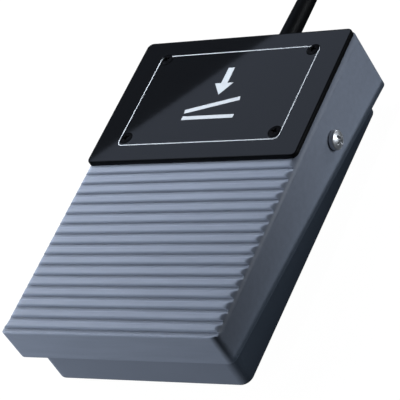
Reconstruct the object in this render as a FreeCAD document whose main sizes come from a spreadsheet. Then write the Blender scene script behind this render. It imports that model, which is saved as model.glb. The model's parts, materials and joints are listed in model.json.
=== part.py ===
import FreeCAD, Part
import math
import os
import re
import Sketcher

# Foot pedal switch: a ribbed tread cover rocks on two shoulder screws over a base tray.
# Millimetres and degrees. +Z is up, +Y points to the cord, +X to the right.
# The origin is on the ground, under the middle of the cover.

Vector = FreeCAD.Vector
Rotation = FreeCAD.Rotation

SIZES = {
    # Pedal cover, measured in its own frame from the pivot axis
    "coverLength": 105.0,
    "coverWidth": 70.0,
    "coverWall": 2.2,
    "roofThickness": 3.1,
    "frontSkirt": 10.8,
    "rearSkirt": 20.5,
    "cornerRadius": 2.0,
    "topEdgeRadius": 1.1,
    "pivotFromFront": 73.8,
    "treadAbovePivot": 9.9,
    "grooveFirst": 1.45,
    "groovePitch": 3.58,
    "grooveCount": 16,
    "grooveWidth": 1.1,
    "grooveDepth": 0.9,
    "stiffenerSpread": 22.0,
    "stiffenerThickness": 1.2,
    "stiffenerDepth": 1.8,
    "stiffenerFront": 7.0,
    "stiffenerLength": 40.0,
    # Where the pivot sits over the ground, and how the cover turns on it
    "pivotBack": 21.3,
    "pivotHeight": 16.4,
    "restTilt": 0.92,
    "pedalTravel": 4.2,
    # Label plate and its four screws
    "plateLength": 46.2,
    "plateThickness": 1.3,
    "plateInset": 0.3,
    "plateCorner": 1.8,
    "plateEdge": 0.4,
    "labelScrewSpanX": 49.6,
    "labelScrewSpanY": 30.0,
    "labelScrewFromBack": 22.7,
    "labelHeadRadius": 1.95,
    "labelHeadDepth": 0.7,
    "labelHeadDome": 0.35,
    "labelShankRadius": 1.0,
    "labelShankLength": 5.0,
    "labelBossRadius": 2.5,
    "labelBossGap": 0.4,
    # Base tray
    "frontInset": 3.1,
    "sideInset": 3.5,
    "rearInset": 5.0,
    "baseWall": 2.2,
    "floorThickness": 2.2,
    "baseCorner": 3.0,
    "baseEdgeRadius": 0.8,
    "wallClearance": 1.0,
    "pillarRadius": 4.6,
    "pillarDepth": 6.2,
    "spacerRadius": 3.6,
    "sideClearance": 0.15,
    "riserBossGap": 2.3,
    # Rubber feet and pads
    "footRadius": 5.0,
    "footHeight": 1.2,
    "footRecess": 0.6,
    "footSpreadX": 48.0,
    "footFront": 8.4,
    "footBack": 8.5,
    "padThickness": 1.2,
    "padWidth": 8.0,
    "padSpread": 26.0,
    "postRadius": 2.5,
    "postSideGap": 0.8,
    "postFromFront": 5.4,
    "padPegRadius": 1.2,
    "padPegLength": 2.5,
    "seatGap": 0.08,
    "slipGap": 0.02,
    "looseGap": 0.1,
    "boreSpare": 0.1,
    "cutOver": 1.0,
    # Pivot screws and their threaded inserts
    "shoulderRadius": 2.0,
    "pivotClearance": 0.05,
    "pivotHeadRadius": 2.75,
    "pivotHeadHeight": 2.1,
    "pivotEndPlay": 0.25,
    "pivotThreadRadius": 1.5,
    "pivotThreadLength": 5.5,
    "insertRadius": 2.3,
    "insertLength": 6.0,
    # Shape of every pan head, as shares of its own radius and height
    "crownShare": 0.6,
    "domeShare": 0.4,
    "recessReach": 0.55,
    "recessWidth": 0.2,
    "recessDepth": 0.55,
    # Return springs
    "springBack": 13.4,
    "springSpread": 38.0,
    "springRadius": 3.6,
    "springWireRadius": 0.4,
    "springTurns": 8,
    "springPegGap": 0.4,
    "springPegLength": 2.4,
    "springGap": 0.1,
    # Circuit board and its screws
    "boardWidth": 44.0,
    "boardLength": 39.0,
    "boardFront": 22.4,
    "boardThickness": 1.6,
    "hingeRoofGap": 0.337,
    "standoffRadius": 2.5,
    "boardHoleInset": 3.0,
    "smallShankRadius": 1.0,
    "smallHeadRadius": 2.0,
    "smallHeadHeight": 1.3,
    "smallHoleRadius": 1.2,
    "boardScrewLength": 5.0,
    # Lever microswitch
    "switchFront": 26.4,
    "switchLength": 20.0,
    "switchWidth": 6.4,
    "switchHeight": 10.2,
    "hingeFromEnd": 2.0,
    "hingeAbove": 0.75,
    "knuckleRadius": 0.65,
    "hingePinRadius": 0.3,
    "hingeClearance": 0.04,
    "lugThickness": 1.05,
    "lugRadius": 0.75,
    "leverWidth": 3.2,
    "leverThickness": 0.3,
    "leverLength": 16.0,
    "leverRest": 9.9,
    "plungerReach": 5.0,
    "plungerRadius": 1.0,
    "plungerLength": 4.2,
    "plungerTravel": 0.8,
    "switchGap": 0.06,
    "switchHoleRadius": 1.1,
    "switchHoleFirst": 5.0,
    "switchHolePitch": 9.5,
    "switchHoleHeight": 2.9,
    "terminalReachShare": 0.52,
    "terminalWidth": 0.9,
    "terminalThickness": 0.5,
    "terminalHoleRadius": 0.7,
    "terminalPitch": 8.5,
    "actuatorReach": 14.0,
    "actuatorRadius": 1.5,
    "actuatorWidth": 4.0,
    # Small parts on the board
    "chipLength": 8.6,
    "chipWidth": 3.9,
    "chipHeight": 1.4,
    "chipSide": 13.0,
    "chipBack": 17.0,
    "chipPins": 7,
    "chipPitch": 1.27,
    "leadLength": 1.0,
    "leadWidth": 0.4,
    "leadHeight": 0.5,
    "crystalLength": 10.2,
    "crystalWidth": 3.8,
    "crystalHeight": 3.5,
    "crystalSide": 12.5,
    "crystalBack": 16.0,
    "smdLength": 2.0,
    "smdWidth": 1.25,
    "capacitorHeight": 0.9,
    "resistorHeight": 0.5,
    "smdSide": 7.5,
    "smdFirst": 10.0,
    "smdPitch": 4.0,
    "smdBehindChip": 8.0,
    # Cable connector on the board
    "headerLength": 12.0,
    "headerWidth": 5.4,
    "headerHeight": 5.0,
    "headerWall": 0.9,
    "headerFloor": 1.0,
    "headerBack": 33.5,
    "housingClearance": 0.1,
    "housingHeight": 5.6,
    "pinPitch": 2.0,
    "pinCount": 4,
    "pinSide": 0.5,
    "pinLength": 6.6,
    "pinHoleSide": 0.6,
    "pinReachShare": 0.4,
    "pinBoardHoleRadius": 0.45,
    # Cord where the base holds it
    "cordRadius": 2.4,
    "cordHeight": 13.1,
    "cordInnerEnd": 14.3,
    "reliefLength": 38.5,
    "reliefStartRadius": 3.1,
    "reliefEndRadius": 2.6,
    "reliefNeckRadius": 3.2,
    "reliefFlangeHalf": 4.5,
    "reliefFlangeThickness": 2.0,
    "slotClearance": 0.1,
    "notchRadius": 4.4,
    "saddleWidth": 17.0,
    "saddleLength": 7.0,
    "saddleFromBack": 8.5,
    "clampGap": 0.5,
    "clampThickness": 3.7,
    "clampScrewSpread": 11.6,
    "clampScrewLength": 8.6,
    "gripClearance": 0.05,
    "wireRadius": 0.5,
    "wireSpread": 0.85,
    "wireStraightShare": 0.25,
    "wireNarrowing": 0.7,
    "wireArchInner": 3.2,
    "wireArchOuter": 4.4,
    "wireArchDrop": 1.2,
    # Free cord, its put-away coil and the plug
    "coilSide": -2.0,
    "coilBack": 224.0,
    "coilMiddleRadius": 26.4,
    "coilPitch": 5.4,
    "coilLayerHalfTurns": 4,
    "coilLayers": 4,
    "tieThickness": 0.8,
    "tieWidth": 8.0,
    "tieClearance": 0.3,
    "plugHeight": 4.0,
    "plugSide": -25.0,
    "plugBack": 148.2,
    "plugTail": 7.0,
    "overmouldLength": 24.0,
    "overmouldWidth": 15.6,
    "overmouldThickness": 8.0,
    "overmouldCorner": 1.5,
    "shellLength": 12.0,
    "shellWidth": 12.0,
    "shellThickness": 4.5,
    "shellSheet": 0.3,
    "latchSide": 2.0,
    "latchSpread": 4.8,
    "latchBack": 5.0,
    "tongueThickness": 1.8,
    "tongueSetBack": 0.5,
    "contactWidth": 1.0,
    "contactThickness": 0.15,
    "contactLength": 8.0,
    "contactPitch": 2.2,
}

# Places that follow from the sizes above, as formulas over the sheet
COVER_FRONT = "(0 - pivotFromFront)"
COVER_BACK = "(coverLength - pivotFromFront)"
COVER_HALF = "(coverWidth / 2)"
ROOF = "(treadAbovePivot - roofThickness)"
BASE_FRONT = "(pivotBack - pivotFromFront + frontInset)"
BASE_BACK = "(pivotBack + coverLength - pivotFromFront - rearInset)"
BASE_HALF = "(coverWidth / 2 - sideInset)"
FLOOR = "(footHeight + floorThickness)"
BOARD_FRONT = f"({BASE_FRONT} + boardFront)"
SWITCH_FRONT = f"({BASE_FRONT} + switchFront)"
HINGE_BACK = f"({SWITCH_FRONT} + hingeFromEnd)"
HEADER_MIDDLE = f"({BOARD_FRONT} + headerBack)"
SPRING_PLACE = f"({BASE_FRONT} + springBack)"
SPRING_PEG = "(springRadius - springWireRadius - springPegGap)"
LABEL_BOSS_DEPTH = f"({ROOF} - pillarRadius - labelBossGap)"
RISER_HALF = "(labelScrewSpanX / 2 - labelBossRadius - riserBossGap)"
SHOULDER_SEAT = f"({COVER_HALF} - coverWall - sideClearance)"
RELIEF_END = f"({BASE_BACK} + reliefLength)"
CORD_INNER_END = f"({BASE_BACK} - baseWall - cordInnerEnd)"
LABEL_MIDDLE = f"({COVER_BACK} - labelScrewFromBack)"


def roof_height(place, tilt):
    """Height of the roof's underside over the ground, at a place along Y, with the cover tilted."""
    return (f"(pivotHeight + ({place} - pivotBack) * tan({tilt})"
            f" + {ROOF} / cos({tilt}))")


ROOF_PRESSED_FRONT = roof_height(BASE_FRONT, "(restTilt + pedalTravel)")
WALL_TOP = f"({ROOF_PRESSED_FRONT} - wallClearance)"
RISER_TOP = f"({roof_height(BASE_BACK, 'restTilt')} - padThickness - seatGap)"
POST_PLACE = f"({BASE_FRONT} + postFromFront)"
POST_SIDE = f"({BASE_HALF} - baseWall - postSideGap - postRadius)"
ROOF_PRESSED_POST = roof_height(f"({POST_PLACE} - postRadius)", "(restTilt + pedalTravel)")
POST_TOP = f"({ROOF_PRESSED_POST} - padThickness - 2 * seatGap)"
SPRING_TOP = f"({roof_height(SPRING_PLACE, 'restTilt')} - springGap)"

# The switch hangs from the pressed roof: its hinge first, then its case, the board and the gap below
HINGE_HEIGHT = (
    f"({roof_height(HINGE_BACK, '(restTilt + pedalTravel)')} - knuckleRadius - hingeRoofGap)"
)
SWITCH_TOP = f"({HINGE_HEIGHT} - hingeAbove)"
BOARD_TOP = f"({SWITCH_TOP} - switchHeight)"
BOARD_BOTTOM = f"({BOARD_TOP} - boardThickness)"
BOARD_GAP = f"({BOARD_BOTTOM} - {FLOOR})"

# The point of the cover's actuator: it lies one gap over the resting lever
ACTUATOR_PLACE = f"({HINGE_BACK} + actuatorReach - pivotBack)"
ACTUATOR_HEIGHT = (
    f"((leverThickness / 2 + actuatorRadius + switchGap"
    f" + sin(leverRest) * (pivotBack - {HINGE_BACK} + {ACTUATOR_PLACE} * cos(restTilt))"
    f" - cos(leverRest) * (pivotHeight - {HINGE_HEIGHT} + {ACTUATOR_PLACE} * sin(restTilt)))"
    f" / cos(leverRest - restTilt))"
)
# The middle of the plunger's round tip: it lies one gap under the resting lever
PLUNGER_HEIGHT = (
    f"({HINGE_HEIGHT} + (plungerReach * sin(leverRest)"
    f" - leverThickness / 2 - plungerRadius - switchGap) / cos(leverRest))"
)

# How a tube's path is rounded, followed and measured
CORD_TURN_SHARE = 0.45
GAP_SAMPLE = 1.0
TANGENT_STEP = 1e-5

# How closely an edge has to lie where it is looked for
EDGE_MARGIN = 1e-3

doc = FreeCAD.newDocument("foot_pedal_switch")
dims = doc.addObject("Spreadsheet::Sheet", "dims")
for row, (alias, value) in enumerate(SIZES.items(), start=1):
    dims.set(f"A{row}", alias)
    dims.set(f"B{row}", str(value))
    dims.setAlias(f"B{row}", alias)
doc.recompute()

nodes = []


def formula(text):
    """The same formula with every size named as a cell of the sheet."""
    return re.sub(r"[A-Za-z]+", lambda word: f"dims.{word[0]}" if word[0] in SIZES else word[0], str(text))


def number(text):
    """The present value of a formula over the sheet."""
    result = dims.evalExpression(formula(text))
    return float(getattr(result, "Value", result))


def bind(item, attribute, text):
    """Tie one property of a document object to a formula over the sheet."""
    item.setExpression(attribute, formula(text))


def keep(item, node):
    """Name a finished piece. Its name is also its file's name."""
    item.Label = node
    nodes.append(item)
    return item


def place_on_cover(item):
    """Put a piece that is drawn in the cover's own frame on the pivot, at the rest tilt."""
    item.Placement = FreeCAD.Placement(Vector(), Rotation(Vector(1, 0, 0), number("restTilt")))
    bind(item, "Placement.Base.y", "pivotBack")
    bind(item, "Placement.Base.z", "pivotHeight")
    bind(item, "Placement.Rotation.Angle", "restTilt")
    return item


# Plain solids and their combinations

ALONG = {
    "x": Rotation(Vector(0, 1, 0), 90),
    "y": Rotation(Vector(1, 0, 0), -90),
    "z": Rotation(),
}


def box(name, x, y, z):
    """A block from a low to a high bound along each axis."""
    block = doc.addObject("Part::Box", name)
    for axis, side, (low, high) in zip("xyz", ("Length", "Width", "Height"), (x, y, z)):
        bind(block, f"Placement.Base.{axis}", low)
        bind(block, side, f"({high}) - ({low})")
    return block


def round_bar(name, axis, start, radius, length, end_radius=None):
    """A cylinder, or a cone with another radius at its far end, along one axis."""
    bar = doc.addObject("Part::Cylinder" if end_radius is None else "Part::Cone", name)
    bar.Placement = FreeCAD.Placement(Vector(), ALONG[axis])
    for letter, value in zip("xyz", start):
        bind(bar, f"Placement.Base.{letter}", value)
    if end_radius is None:
        bind(bar, "Radius", radius)
    else:
        bind(bar, "Radius1", radius)
        bind(bar, "Radius2", end_radius)
    bind(bar, "Height", length)
    return bar


def fuse(name, parts):
    """One solid out of several that meet."""
    union = doc.addObject("Part::MultiFuse", name)
    union.Shapes = parts
    union.Refine = True
    return union


def cut(name, body, tools):
    """A solid with several others taken out of it."""
    result = doc.addObject("Part::Cut", name)
    result.Base = body
    result.Tool = tools[0] if len(tools) == 1 else fuse(f"{name}_tools", tools)
    return result


def group(name, parts):
    """Alike pieces that stay separate solids of one node."""
    bundle = doc.addObject("Part::Compound", name)
    bundle.Links = parts
    return bundle


# Sketched solids

def new_body(node):
    body = doc.addObject("PartDesign::Body", node)
    return keep(body, node)


def sketch_on(body, role, name, height=None):
    """A sketch on one of the body's own origin planes, lifted along the plane's normal."""
    plane = next(part for part in body.Origin.OriginFeatures if part.Role == role)
    sketch = body.newObject("Sketcher::SketchObject", name)
    sketch.AttachmentSupport = [(plane, "")]
    sketch.MapMode = "FlatFace"
    if height is not None:
        bind(sketch, "AttachmentOffset.Base.z", height)
    return sketch


def pin_point(sketch, geometry, end, across, up):
    """Fix one point of a sketch at formulas for its two coordinates."""
    for kind, text in (("DistanceX", across), ("DistanceY", up)):
        index = sketch.addConstraint(Sketcher.Constraint(kind, -1, 1, geometry, end, number(text)))
        bind(sketch, f"Constraints[{index}]", text)


def outline(sketch, corners):
    """A closed outline of straight lines through corners that are given as formulas."""
    points = [Vector(number(across), number(up)) for across, up in corners]
    first = sketch.GeometryCount
    for start, end in zip(points, points[1:] + points[:1]):
        sketch.addGeometry(Part.LineSegment(start, end), False)
    for index in range(len(points)):
        after = first + (index + 1) % len(points)
        sketch.addConstraint(Sketcher.Constraint("Coincident", first + index, 2, after, 1))
    for index, (across, up) in enumerate(corners):
        pin_point(sketch, first + index, 1, across, up)
    return sketch


def rectangle(sketch, left, right, low, high):
    return outline(sketch, [(left, low), (right, low), (right, high), (left, high)])


def circles(sketch, centres, radius):
    """Circles of one radius round centres that are given as formulas."""
    for across, up in centres:
        centre = Vector(number(across), number(up))
        index = sketch.addGeometry(Part.Circle(centre, Vector(0, 0, 1), number(radius)), False)
        pin_point(sketch, index, 3, across, up)
        limit = sketch.addConstraint(Sketcher.Constraint("Radius", index, number(radius)))
        bind(sketch, f"Constraints[{limit}]", radius)
    return sketch


def pad(body, sketch, length, both_ways=False, downward=False):
    feature = body.newObject("PartDesign::Pad", f"{sketch.Name}_pad")
    feature.Profile = sketch
    feature.Midplane = both_ways
    feature.Reversed = downward
    bind(feature, "Length", length)
    doc.recompute()
    return feature


def pocket(body, sketch, length=None, both_ways=False, reverse=False):
    """Cut a sketch out of the body, through all of it where no length is given."""
    before = body.Shape.Volume
    feature = body.newObject("PartDesign::Pocket", f"{sketch.Name}_pocket")
    feature.Profile = sketch
    feature.Midplane = both_ways
    feature.Reversed = reverse
    if length is None:
        feature.Type = "ThroughAll"
    else:
        bind(feature, "Length", length)
    doc.recompute()
    if not feature.Shape.Volume < before - 1e-3:
        raise RuntimeError(f"{feature.Name} cuts nothing")
    return feature


def round_over(body, feature, chosen, radius):
    """Round the edges of the last feature that pass a test."""
    names = [f"Edge{index}" for index, edge in enumerate(feature.Shape.Edges, start=1) if chosen(edge)]
    if not names:
        raise RuntimeError(f"no edge to round on {feature.Name}")
    fillet = body.newObject("PartDesign::Fillet", f"{feature.Name}_round")
    fillet.Base = (feature, names)
    bind(fillet, "Radius", radius)
    doc.recompute()
    return fillet


def is_upright_corner(half):
    """A test for edges that run up a corner, between two side walls."""
    def test(edge):
        bounds = edge.BoundBox
        on_side = min(abs(bounds.XMin), abs(bounds.XMax)) > half - EDGE_MARGIN
        return on_side and bounds.ZLength > bounds.YLength + EDGE_MARGIN and bounds.YLength < EDGE_MARGIN
    return test


def is_level_at(height):
    """A test for edges that lie at one height."""
    def test(edge):
        return max(abs(edge.BoundBox.ZMin - height), abs(edge.BoundBox.ZMax - height)) < EDGE_MARGIN
    return test


def mirrored_pair(across, up):
    return [(f"{across}", up), (f"0 - {across}", up)]


# Pedal cover: a wedge-shaped cap with a ribbed tread, open underneath

def make_pedal_cover():
    body = new_body("pedal_cover")
    wedge = outline(sketch_on(body, "YZ_Plane", "cover_side"), [
        (COVER_FRONT, "treadAbovePivot - frontSkirt"),
        (COVER_BACK, "treadAbovePivot - rearSkirt"),
        (COVER_BACK, "treadAbovePivot"),
        (COVER_FRONT, "treadAbovePivot"),
    ])
    block = pad(body, wedge, "coverWidth", both_ways=True)
    block = round_over(body, block, is_upright_corner(number(COVER_HALF)), "cornerRadius")
    block = round_over(body, block, is_level_at(number("treadAbovePivot")), "topEdgeRadius")
    inside = rectangle(sketch_on(body, "YZ_Plane", "cover_inside"),
                       f"{COVER_FRONT} + coverWall", f"{COVER_BACK} - coverWall",
                       "treadAbovePivot - rearSkirt - coverWall", ROOF)
    pocket(body, inside, "coverWidth - 2 * coverWall", both_ways=True)

    groove_low = f"{COVER_FRONT} + grooveFirst - grooveWidth / 2"
    groove = rectangle(sketch_on(body, "YZ_Plane", "tread_groove"),
                       groove_low, f"{groove_low} + grooveWidth",
                       "treadAbovePivot - grooveDepth", "treadAbovePivot + grooveDepth")
    first_groove = pocket(body, groove, "2 * coverWidth", both_ways=True)
    pattern = body.newObject("PartDesign::LinearPattern", "tread_grooves")
    pattern.Originals = [first_groove]
    length_axis = next(part for part in body.Origin.OriginFeatures if part.Role == "Y_Axis")
    pattern.Direction = (length_axis, [""])
    bind(pattern, "Length", "groovePitch * (grooveCount - 1)")
    bind(pattern, "Occurrences", "grooveCount")
    body.Tip = pattern
    doc.recompute()

    stiffener_low = f"{COVER_FRONT} + stiffenerFront"
    stiffeners = sketch_on(body, "XY_Plane", "cover_stiffeners", ROOF)
    for side in (1, -1):
        inner = f"{side} * stiffenerSpread / 2"
        outer = f"{side} * (stiffenerSpread / 2 + stiffenerThickness)"
        rectangle(stiffeners, inner, outer, stiffener_low, f"{stiffener_low} + stiffenerLength")
    pad(body, stiffeners, "stiffenerDepth", downward=True)
    bosses = circles(sketch_on(body, "XY_Plane", "label_bosses", ROOF),
                     label_screw_places(), "labelBossRadius")
    pad(body, bosses, LABEL_BOSS_DEPTH, downward=True)
    bores = circles(sketch_on(body, "XY_Plane", "label_bores", "treadAbovePivot"),
                    label_screw_places(), "labelShankRadius + slipGap")
    pocket(body, bores, "labelShankLength - plateThickness + labelHeadDepth + boreSpare")

    spring_place = f"({SPRING_PLACE} - pivotBack)"
    pegs = circles(sketch_on(body, "XY_Plane", "spring_pegs", ROOF),
                   mirrored_pair("springSpread / 2", spring_place), SPRING_PEG)
    pad(body, pegs, "springPegLength", downward=True)
    blade = rectangle(sketch_on(body, "YZ_Plane", "actuator_blade"),
                      f"{ACTUATOR_PLACE} - actuatorRadius", f"{ACTUATOR_PLACE} + actuatorRadius",
                      ACTUATOR_HEIGHT, f"{ROOF} + coverWall / 4")
    pad(body, blade, "actuatorWidth", both_ways=True)
    tip = circles(sketch_on(body, "YZ_Plane", "actuator_tip"),
                  [(ACTUATOR_PLACE, ACTUATOR_HEIGHT)], "actuatorRadius")
    pad(body, tip, "actuatorWidth", both_ways=True)

    pivot = circles(sketch_on(body, "YZ_Plane", "pivot_holes"),
                    [("0", "0")], "shoulderRadius + pivotClearance")
    pocket(body, pivot, "2 * coverWidth", both_ways=True)
    notch_top = "cordHeight - pivotHeight"
    notch = rectangle(sketch_on(body, "XZ_Plane", "cord_notch"), "0 - notchRadius", "notchRadius",
                      "treadAbovePivot - rearSkirt - coverWall", notch_top)
    pocket(body, notch)
    notch_round = circles(sketch_on(body, "XZ_Plane", "cord_notch_top"), [("0", notch_top)], "notchRadius")
    pocket(body, notch_round)
    place_on_cover(body)


# Label plate and its screws, in the cover's frame

def label_screw_places():
    return [
        (f"{sx} * labelScrewSpanX / 2", f"{LABEL_MIDDLE} + {sy} * labelScrewSpanY / 2")
        for sy in (-1, 1)
        for sx in (-1, 1)
    ]


def make_label_plate():
    body = new_body("label_plate")
    face = rectangle(sketch_on(body, "XY_Plane", "plate_outline", "treadAbovePivot"),
                     f"plateInset - {COVER_HALF}", f"{COVER_HALF} - plateInset",
                     f"{COVER_BACK} - plateInset - plateLength", f"{COVER_BACK} - plateInset")
    block = pad(body, face, "plateThickness")

    def is_plate_corner(edge):
        return edge.BoundBox.ZLength > number("plateThickness") - EDGE_MARGIN

    block = round_over(body, block, is_plate_corner, "plateCorner")
    top = number("treadAbovePivot + plateThickness")
    round_over(body, block, is_level_at(top), "plateEdge")
    seats = circles(sketch_on(body, "XY_Plane", "plate_screw_seats", "treadAbovePivot + plateThickness"),
                    label_screw_places(), "labelHeadRadius + looseGap")
    pocket(body, seats, "labelHeadDepth")
    holes = circles(sketch_on(body, "XY_Plane", "plate_screw_holes", "treadAbovePivot + plateThickness"),
                    label_screw_places(), "labelShankRadius + looseGap")
    pocket(body, holes, "plateThickness")
    place_on_cover(body)


def screw(name, place, head_radius, head_height, dome, shank_radius, shank_length, axis=None):
    """A pan head screw with a cross recess. Its head stands on the plane through its place."""
    head = round_bar(f"{name}_head", "z", ("0", "0", "0"), head_radius, head_height)
    crown = round_bar(f"{name}_crown", "z", ("0", "0", head_height), head_radius, dome,
                      f"{head_radius} * crownShare")
    shank = round_bar(f"{name}_shank", "z", ("0", "0", f"0 - ({shank_length})"), shank_radius, shank_length)
    solid = fuse(f"{name}_solid", [head, crown, shank])
    top = f"({head_height} + {dome})"
    wide = (f"0 - {head_radius} * recessReach", f"{head_radius} * recessReach")
    thin = (f"0 - {head_radius} * recessWidth / 2", f"{head_radius} * recessWidth / 2")
    deep = (f"{top} * (1 - recessDepth)", f"{top} * 2")
    bars = [
        box(f"{name}_recess{index}", across, along, deep)
        for index, (across, along) in enumerate(((wide, thin), (thin, wide)))
    ]
    piece = cut(name, solid, bars)
    piece.Placement = FreeCAD.Placement(Vector(), axis or Rotation())
    for letter, value in zip("xyz", place):
        bind(piece, f"Placement.Base.{letter}", value)
    return piece


def make_label_screws():
    seat = "treadAbovePivot + plateThickness - labelHeadDepth"
    screws = []
    for index, (across, along) in enumerate(label_screw_places()):
        screws.append(screw(f"label_screw{index}", (across, along, seat), "labelHeadRadius",
                            "labelHeadDepth", "labelHeadDome", "labelShankRadius", "labelShankLength"))
    place_on_cover(keep(group("label_screw_group", screws), "label_screws"))


# Base tray: floor, walls, pivot pillars, posts, standoffs and the cord's saddle

def board_hole_places():
    low = f"({BOARD_FRONT} + boardHoleInset)"
    high = f"({BOARD_FRONT} + boardLength - boardHoleInset)"
    side = "(boardWidth / 2 - boardHoleInset)"
    return mirrored_pair(side, low) + mirrored_pair(side, high)


def foot_places():
    low = f"({BASE_FRONT} + footFront)"
    high = f"({BASE_BACK} - footBack)"
    return mirrored_pair("footSpreadX / 2", low) + mirrored_pair("footSpreadX / 2", high)


SADDLE_BACK = f"({BASE_BACK} - saddleFromBack)"
SADDLE_MIDDLE = f"({SADDLE_BACK} - saddleLength / 2)"


def make_base_tray():
    body = new_body("base_tray")
    floor = rectangle(sketch_on(body, "XY_Plane", "tray_outline", "footHeight"),
                      f"0 - {BASE_HALF}", BASE_HALF, BASE_FRONT, BASE_BACK)
    block = pad(body, floor, f"{WALL_TOP} - footHeight")
    block = round_over(body, block, is_upright_corner(number(BASE_HALF)), "baseCorner")
    round_over(body, block, is_level_at(number("footHeight")), "baseEdgeRadius")
    inside = rectangle(sketch_on(body, "XY_Plane", "tray_inside", WALL_TOP),
                       f"baseWall - {BASE_HALF}", f"{BASE_HALF} - baseWall",
                       f"{BASE_FRONT} + baseWall", f"{BASE_BACK} - baseWall")
    pocket(body, inside, f"{WALL_TOP} - {FLOOR}")

    pillar = rectangle(sketch_on(body, "YZ_Plane", "pillar_side"), "pivotBack - pillarRadius",
                       "pivotBack + pillarRadius", f"{FLOOR} - floorThickness / 4", "pivotHeight")
    pad(body, pillar, f"2 * {BASE_HALF}", both_ways=True)
    pillar_top = circles(sketch_on(body, "YZ_Plane", "pillar_top"),
                         [("pivotBack", "pivotHeight")], "pillarRadius")
    pad(body, pillar_top, f"2 * {BASE_HALF}", both_ways=True)
    spacer = circles(sketch_on(body, "YZ_Plane", "pivot_spacer"),
                     [("pivotBack", "pivotHeight")], "spacerRadius")
    pad(body, spacer, f"2 * {SHOULDER_SEAT}", both_ways=True)
    between = rectangle(sketch_on(body, "YZ_Plane", "between_pillars"),
                        "pivotBack - pillarRadius - cutOver", "pivotBack + pillarRadius + cutOver", FLOOR,
                        "pivotHeight + pillarRadius + cutOver")
    pocket(body, between, f"2 * ({BASE_HALF} - pillarDepth)", both_ways=True)
    insert_bore = circles(sketch_on(body, "YZ_Plane", "insert_bore"), [("pivotBack", "pivotHeight")],
                          "insertRadius + slipGap")
    pocket(body, insert_bore, "2 * coverWidth", both_ways=True)

    riser = rectangle(sketch_on(body, "XY_Plane", "rear_riser", f"{WALL_TOP} - baseWall / 2"),
                      f"0 - {RISER_HALF}", RISER_HALF, f"{BASE_BACK} - baseWall", BASE_BACK)
    pad(body, riser, f"{RISER_TOP} - {WALL_TOP} + baseWall / 2")
    slot_half = "(reliefNeckRadius + slotClearance)"
    slot = rectangle(sketch_on(body, "XZ_Plane", "relief_slot"), f"0 - {slot_half}", slot_half,
                     "cordHeight", f"{RISER_TOP} + cutOver")
    pocket(body, slot)
    slot_round = circles(sketch_on(body, "XZ_Plane", "relief_slot_bottom"),
                         [("0", "cordHeight")], slot_half)
    pocket(body, slot_round)

    posts = circles(sketch_on(body, "XY_Plane", "stop_posts", f"{FLOOR} - floorThickness / 4"),
                    mirrored_pair(POST_SIDE, POST_PLACE), "postRadius")
    pad(body, posts, f"{POST_TOP} - {FLOOR} + floorThickness / 4")
    post_holes = circles(sketch_on(body, "XY_Plane", "post_holes", POST_TOP),
                         mirrored_pair(POST_SIDE, POST_PLACE), "padPegRadius + slipGap")
    pocket(body, post_holes, "padPegLength + boreSpare")
    standoffs = circles(sketch_on(body, "XY_Plane", "board_standoffs", f"{FLOOR} - floorThickness / 4"),
                        board_hole_places(), "standoffRadius")
    pad(body, standoffs, f"{BOARD_GAP} + floorThickness / 4")
    board_bores = circles(sketch_on(body, "XY_Plane", "board_bores", BOARD_BOTTOM),
                          board_hole_places(), "smallShankRadius + slipGap")
    pocket(body, board_bores, "boardScrewLength - boardThickness + boreSpare")
    pegs = circles(sketch_on(body, "XY_Plane", "spring_floor_pegs", f"{FLOOR} - floorThickness / 4"),
                   mirrored_pair("springSpread / 2", SPRING_PLACE), SPRING_PEG)
    pad(body, pegs, "springPegLength + floorThickness / 4")
    recesses = circles(sketch_on(body, "XY_Plane", "foot_recesses", "footHeight"),
                       foot_places(), "footRadius + looseGap")
    pocket(body, recesses, "footRecess", reverse=True)

    saddle_top = "(cordHeight - clampGap)"
    saddle = rectangle(sketch_on(body, "XY_Plane", "cord_saddle", f"{FLOOR} - floorThickness / 4"),
                       "0 - saddleWidth / 2", "saddleWidth / 2",
                       f"{SADDLE_BACK} - saddleLength", SADDLE_BACK)
    pad(body, saddle, f"{saddle_top} - {FLOOR} + floorThickness / 4")
    groove = circles(sketch_on(body, "XZ_Plane", "saddle_groove"),
                     [("0", "cordHeight")], "cordRadius + gripClearance")
    pocket(body, groove)
    bores = circles(sketch_on(body, "XY_Plane", "saddle_bores", saddle_top),
                    mirrored_pair("clampScrewSpread / 2", SADDLE_MIDDLE), "smallShankRadius + slipGap")
    pocket(body, bores, "clampScrewLength - clampThickness - 2 * clampGap + boreSpare")


# Rubber feet and stop pads

def make_feet_and_pads():
    feet = [
        round_bar(f"foot{index}", "z", (across, along, "0"), "footRadius", "footHeight + footRecess")
        for index, (across, along) in enumerate(foot_places())
    ]
    keep(group("foot_group", feet), "rubber_feet")
    rest_pads = []
    for index, side in enumerate((-1, 1)):
        middle = f"{side} * padSpread / 2"
        across = (f"{middle} - padWidth / 2", f"{middle} + padWidth / 2")
        along = (f"{BASE_BACK} - baseWall", BASE_BACK)
        rest_pads.append(box(f"rest_pad{index}", across, along, (RISER_TOP, f"{RISER_TOP} + padThickness")))
    keep(group("rest_pad_group", rest_pads), "rest_stop_pads")
    stop_pads = []
    for index, (across, along) in enumerate(mirrored_pair(POST_SIDE, POST_PLACE)):
        disc = round_bar(f"stop_disc{index}", "z", (across, along, POST_TOP), "postRadius", "padThickness")
        peg = round_bar(f"stop_peg{index}", "z", (across, along, f"{POST_TOP} - padPegLength"),
                        "padPegRadius", "padPegLength")
        stop_pads.append(fuse(f"stop_pad{index}", [disc, peg]))
    keep(group("stop_pad_group", stop_pads), "down_stop_pads")


# Pivot screws and inserts, one on each side

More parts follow.
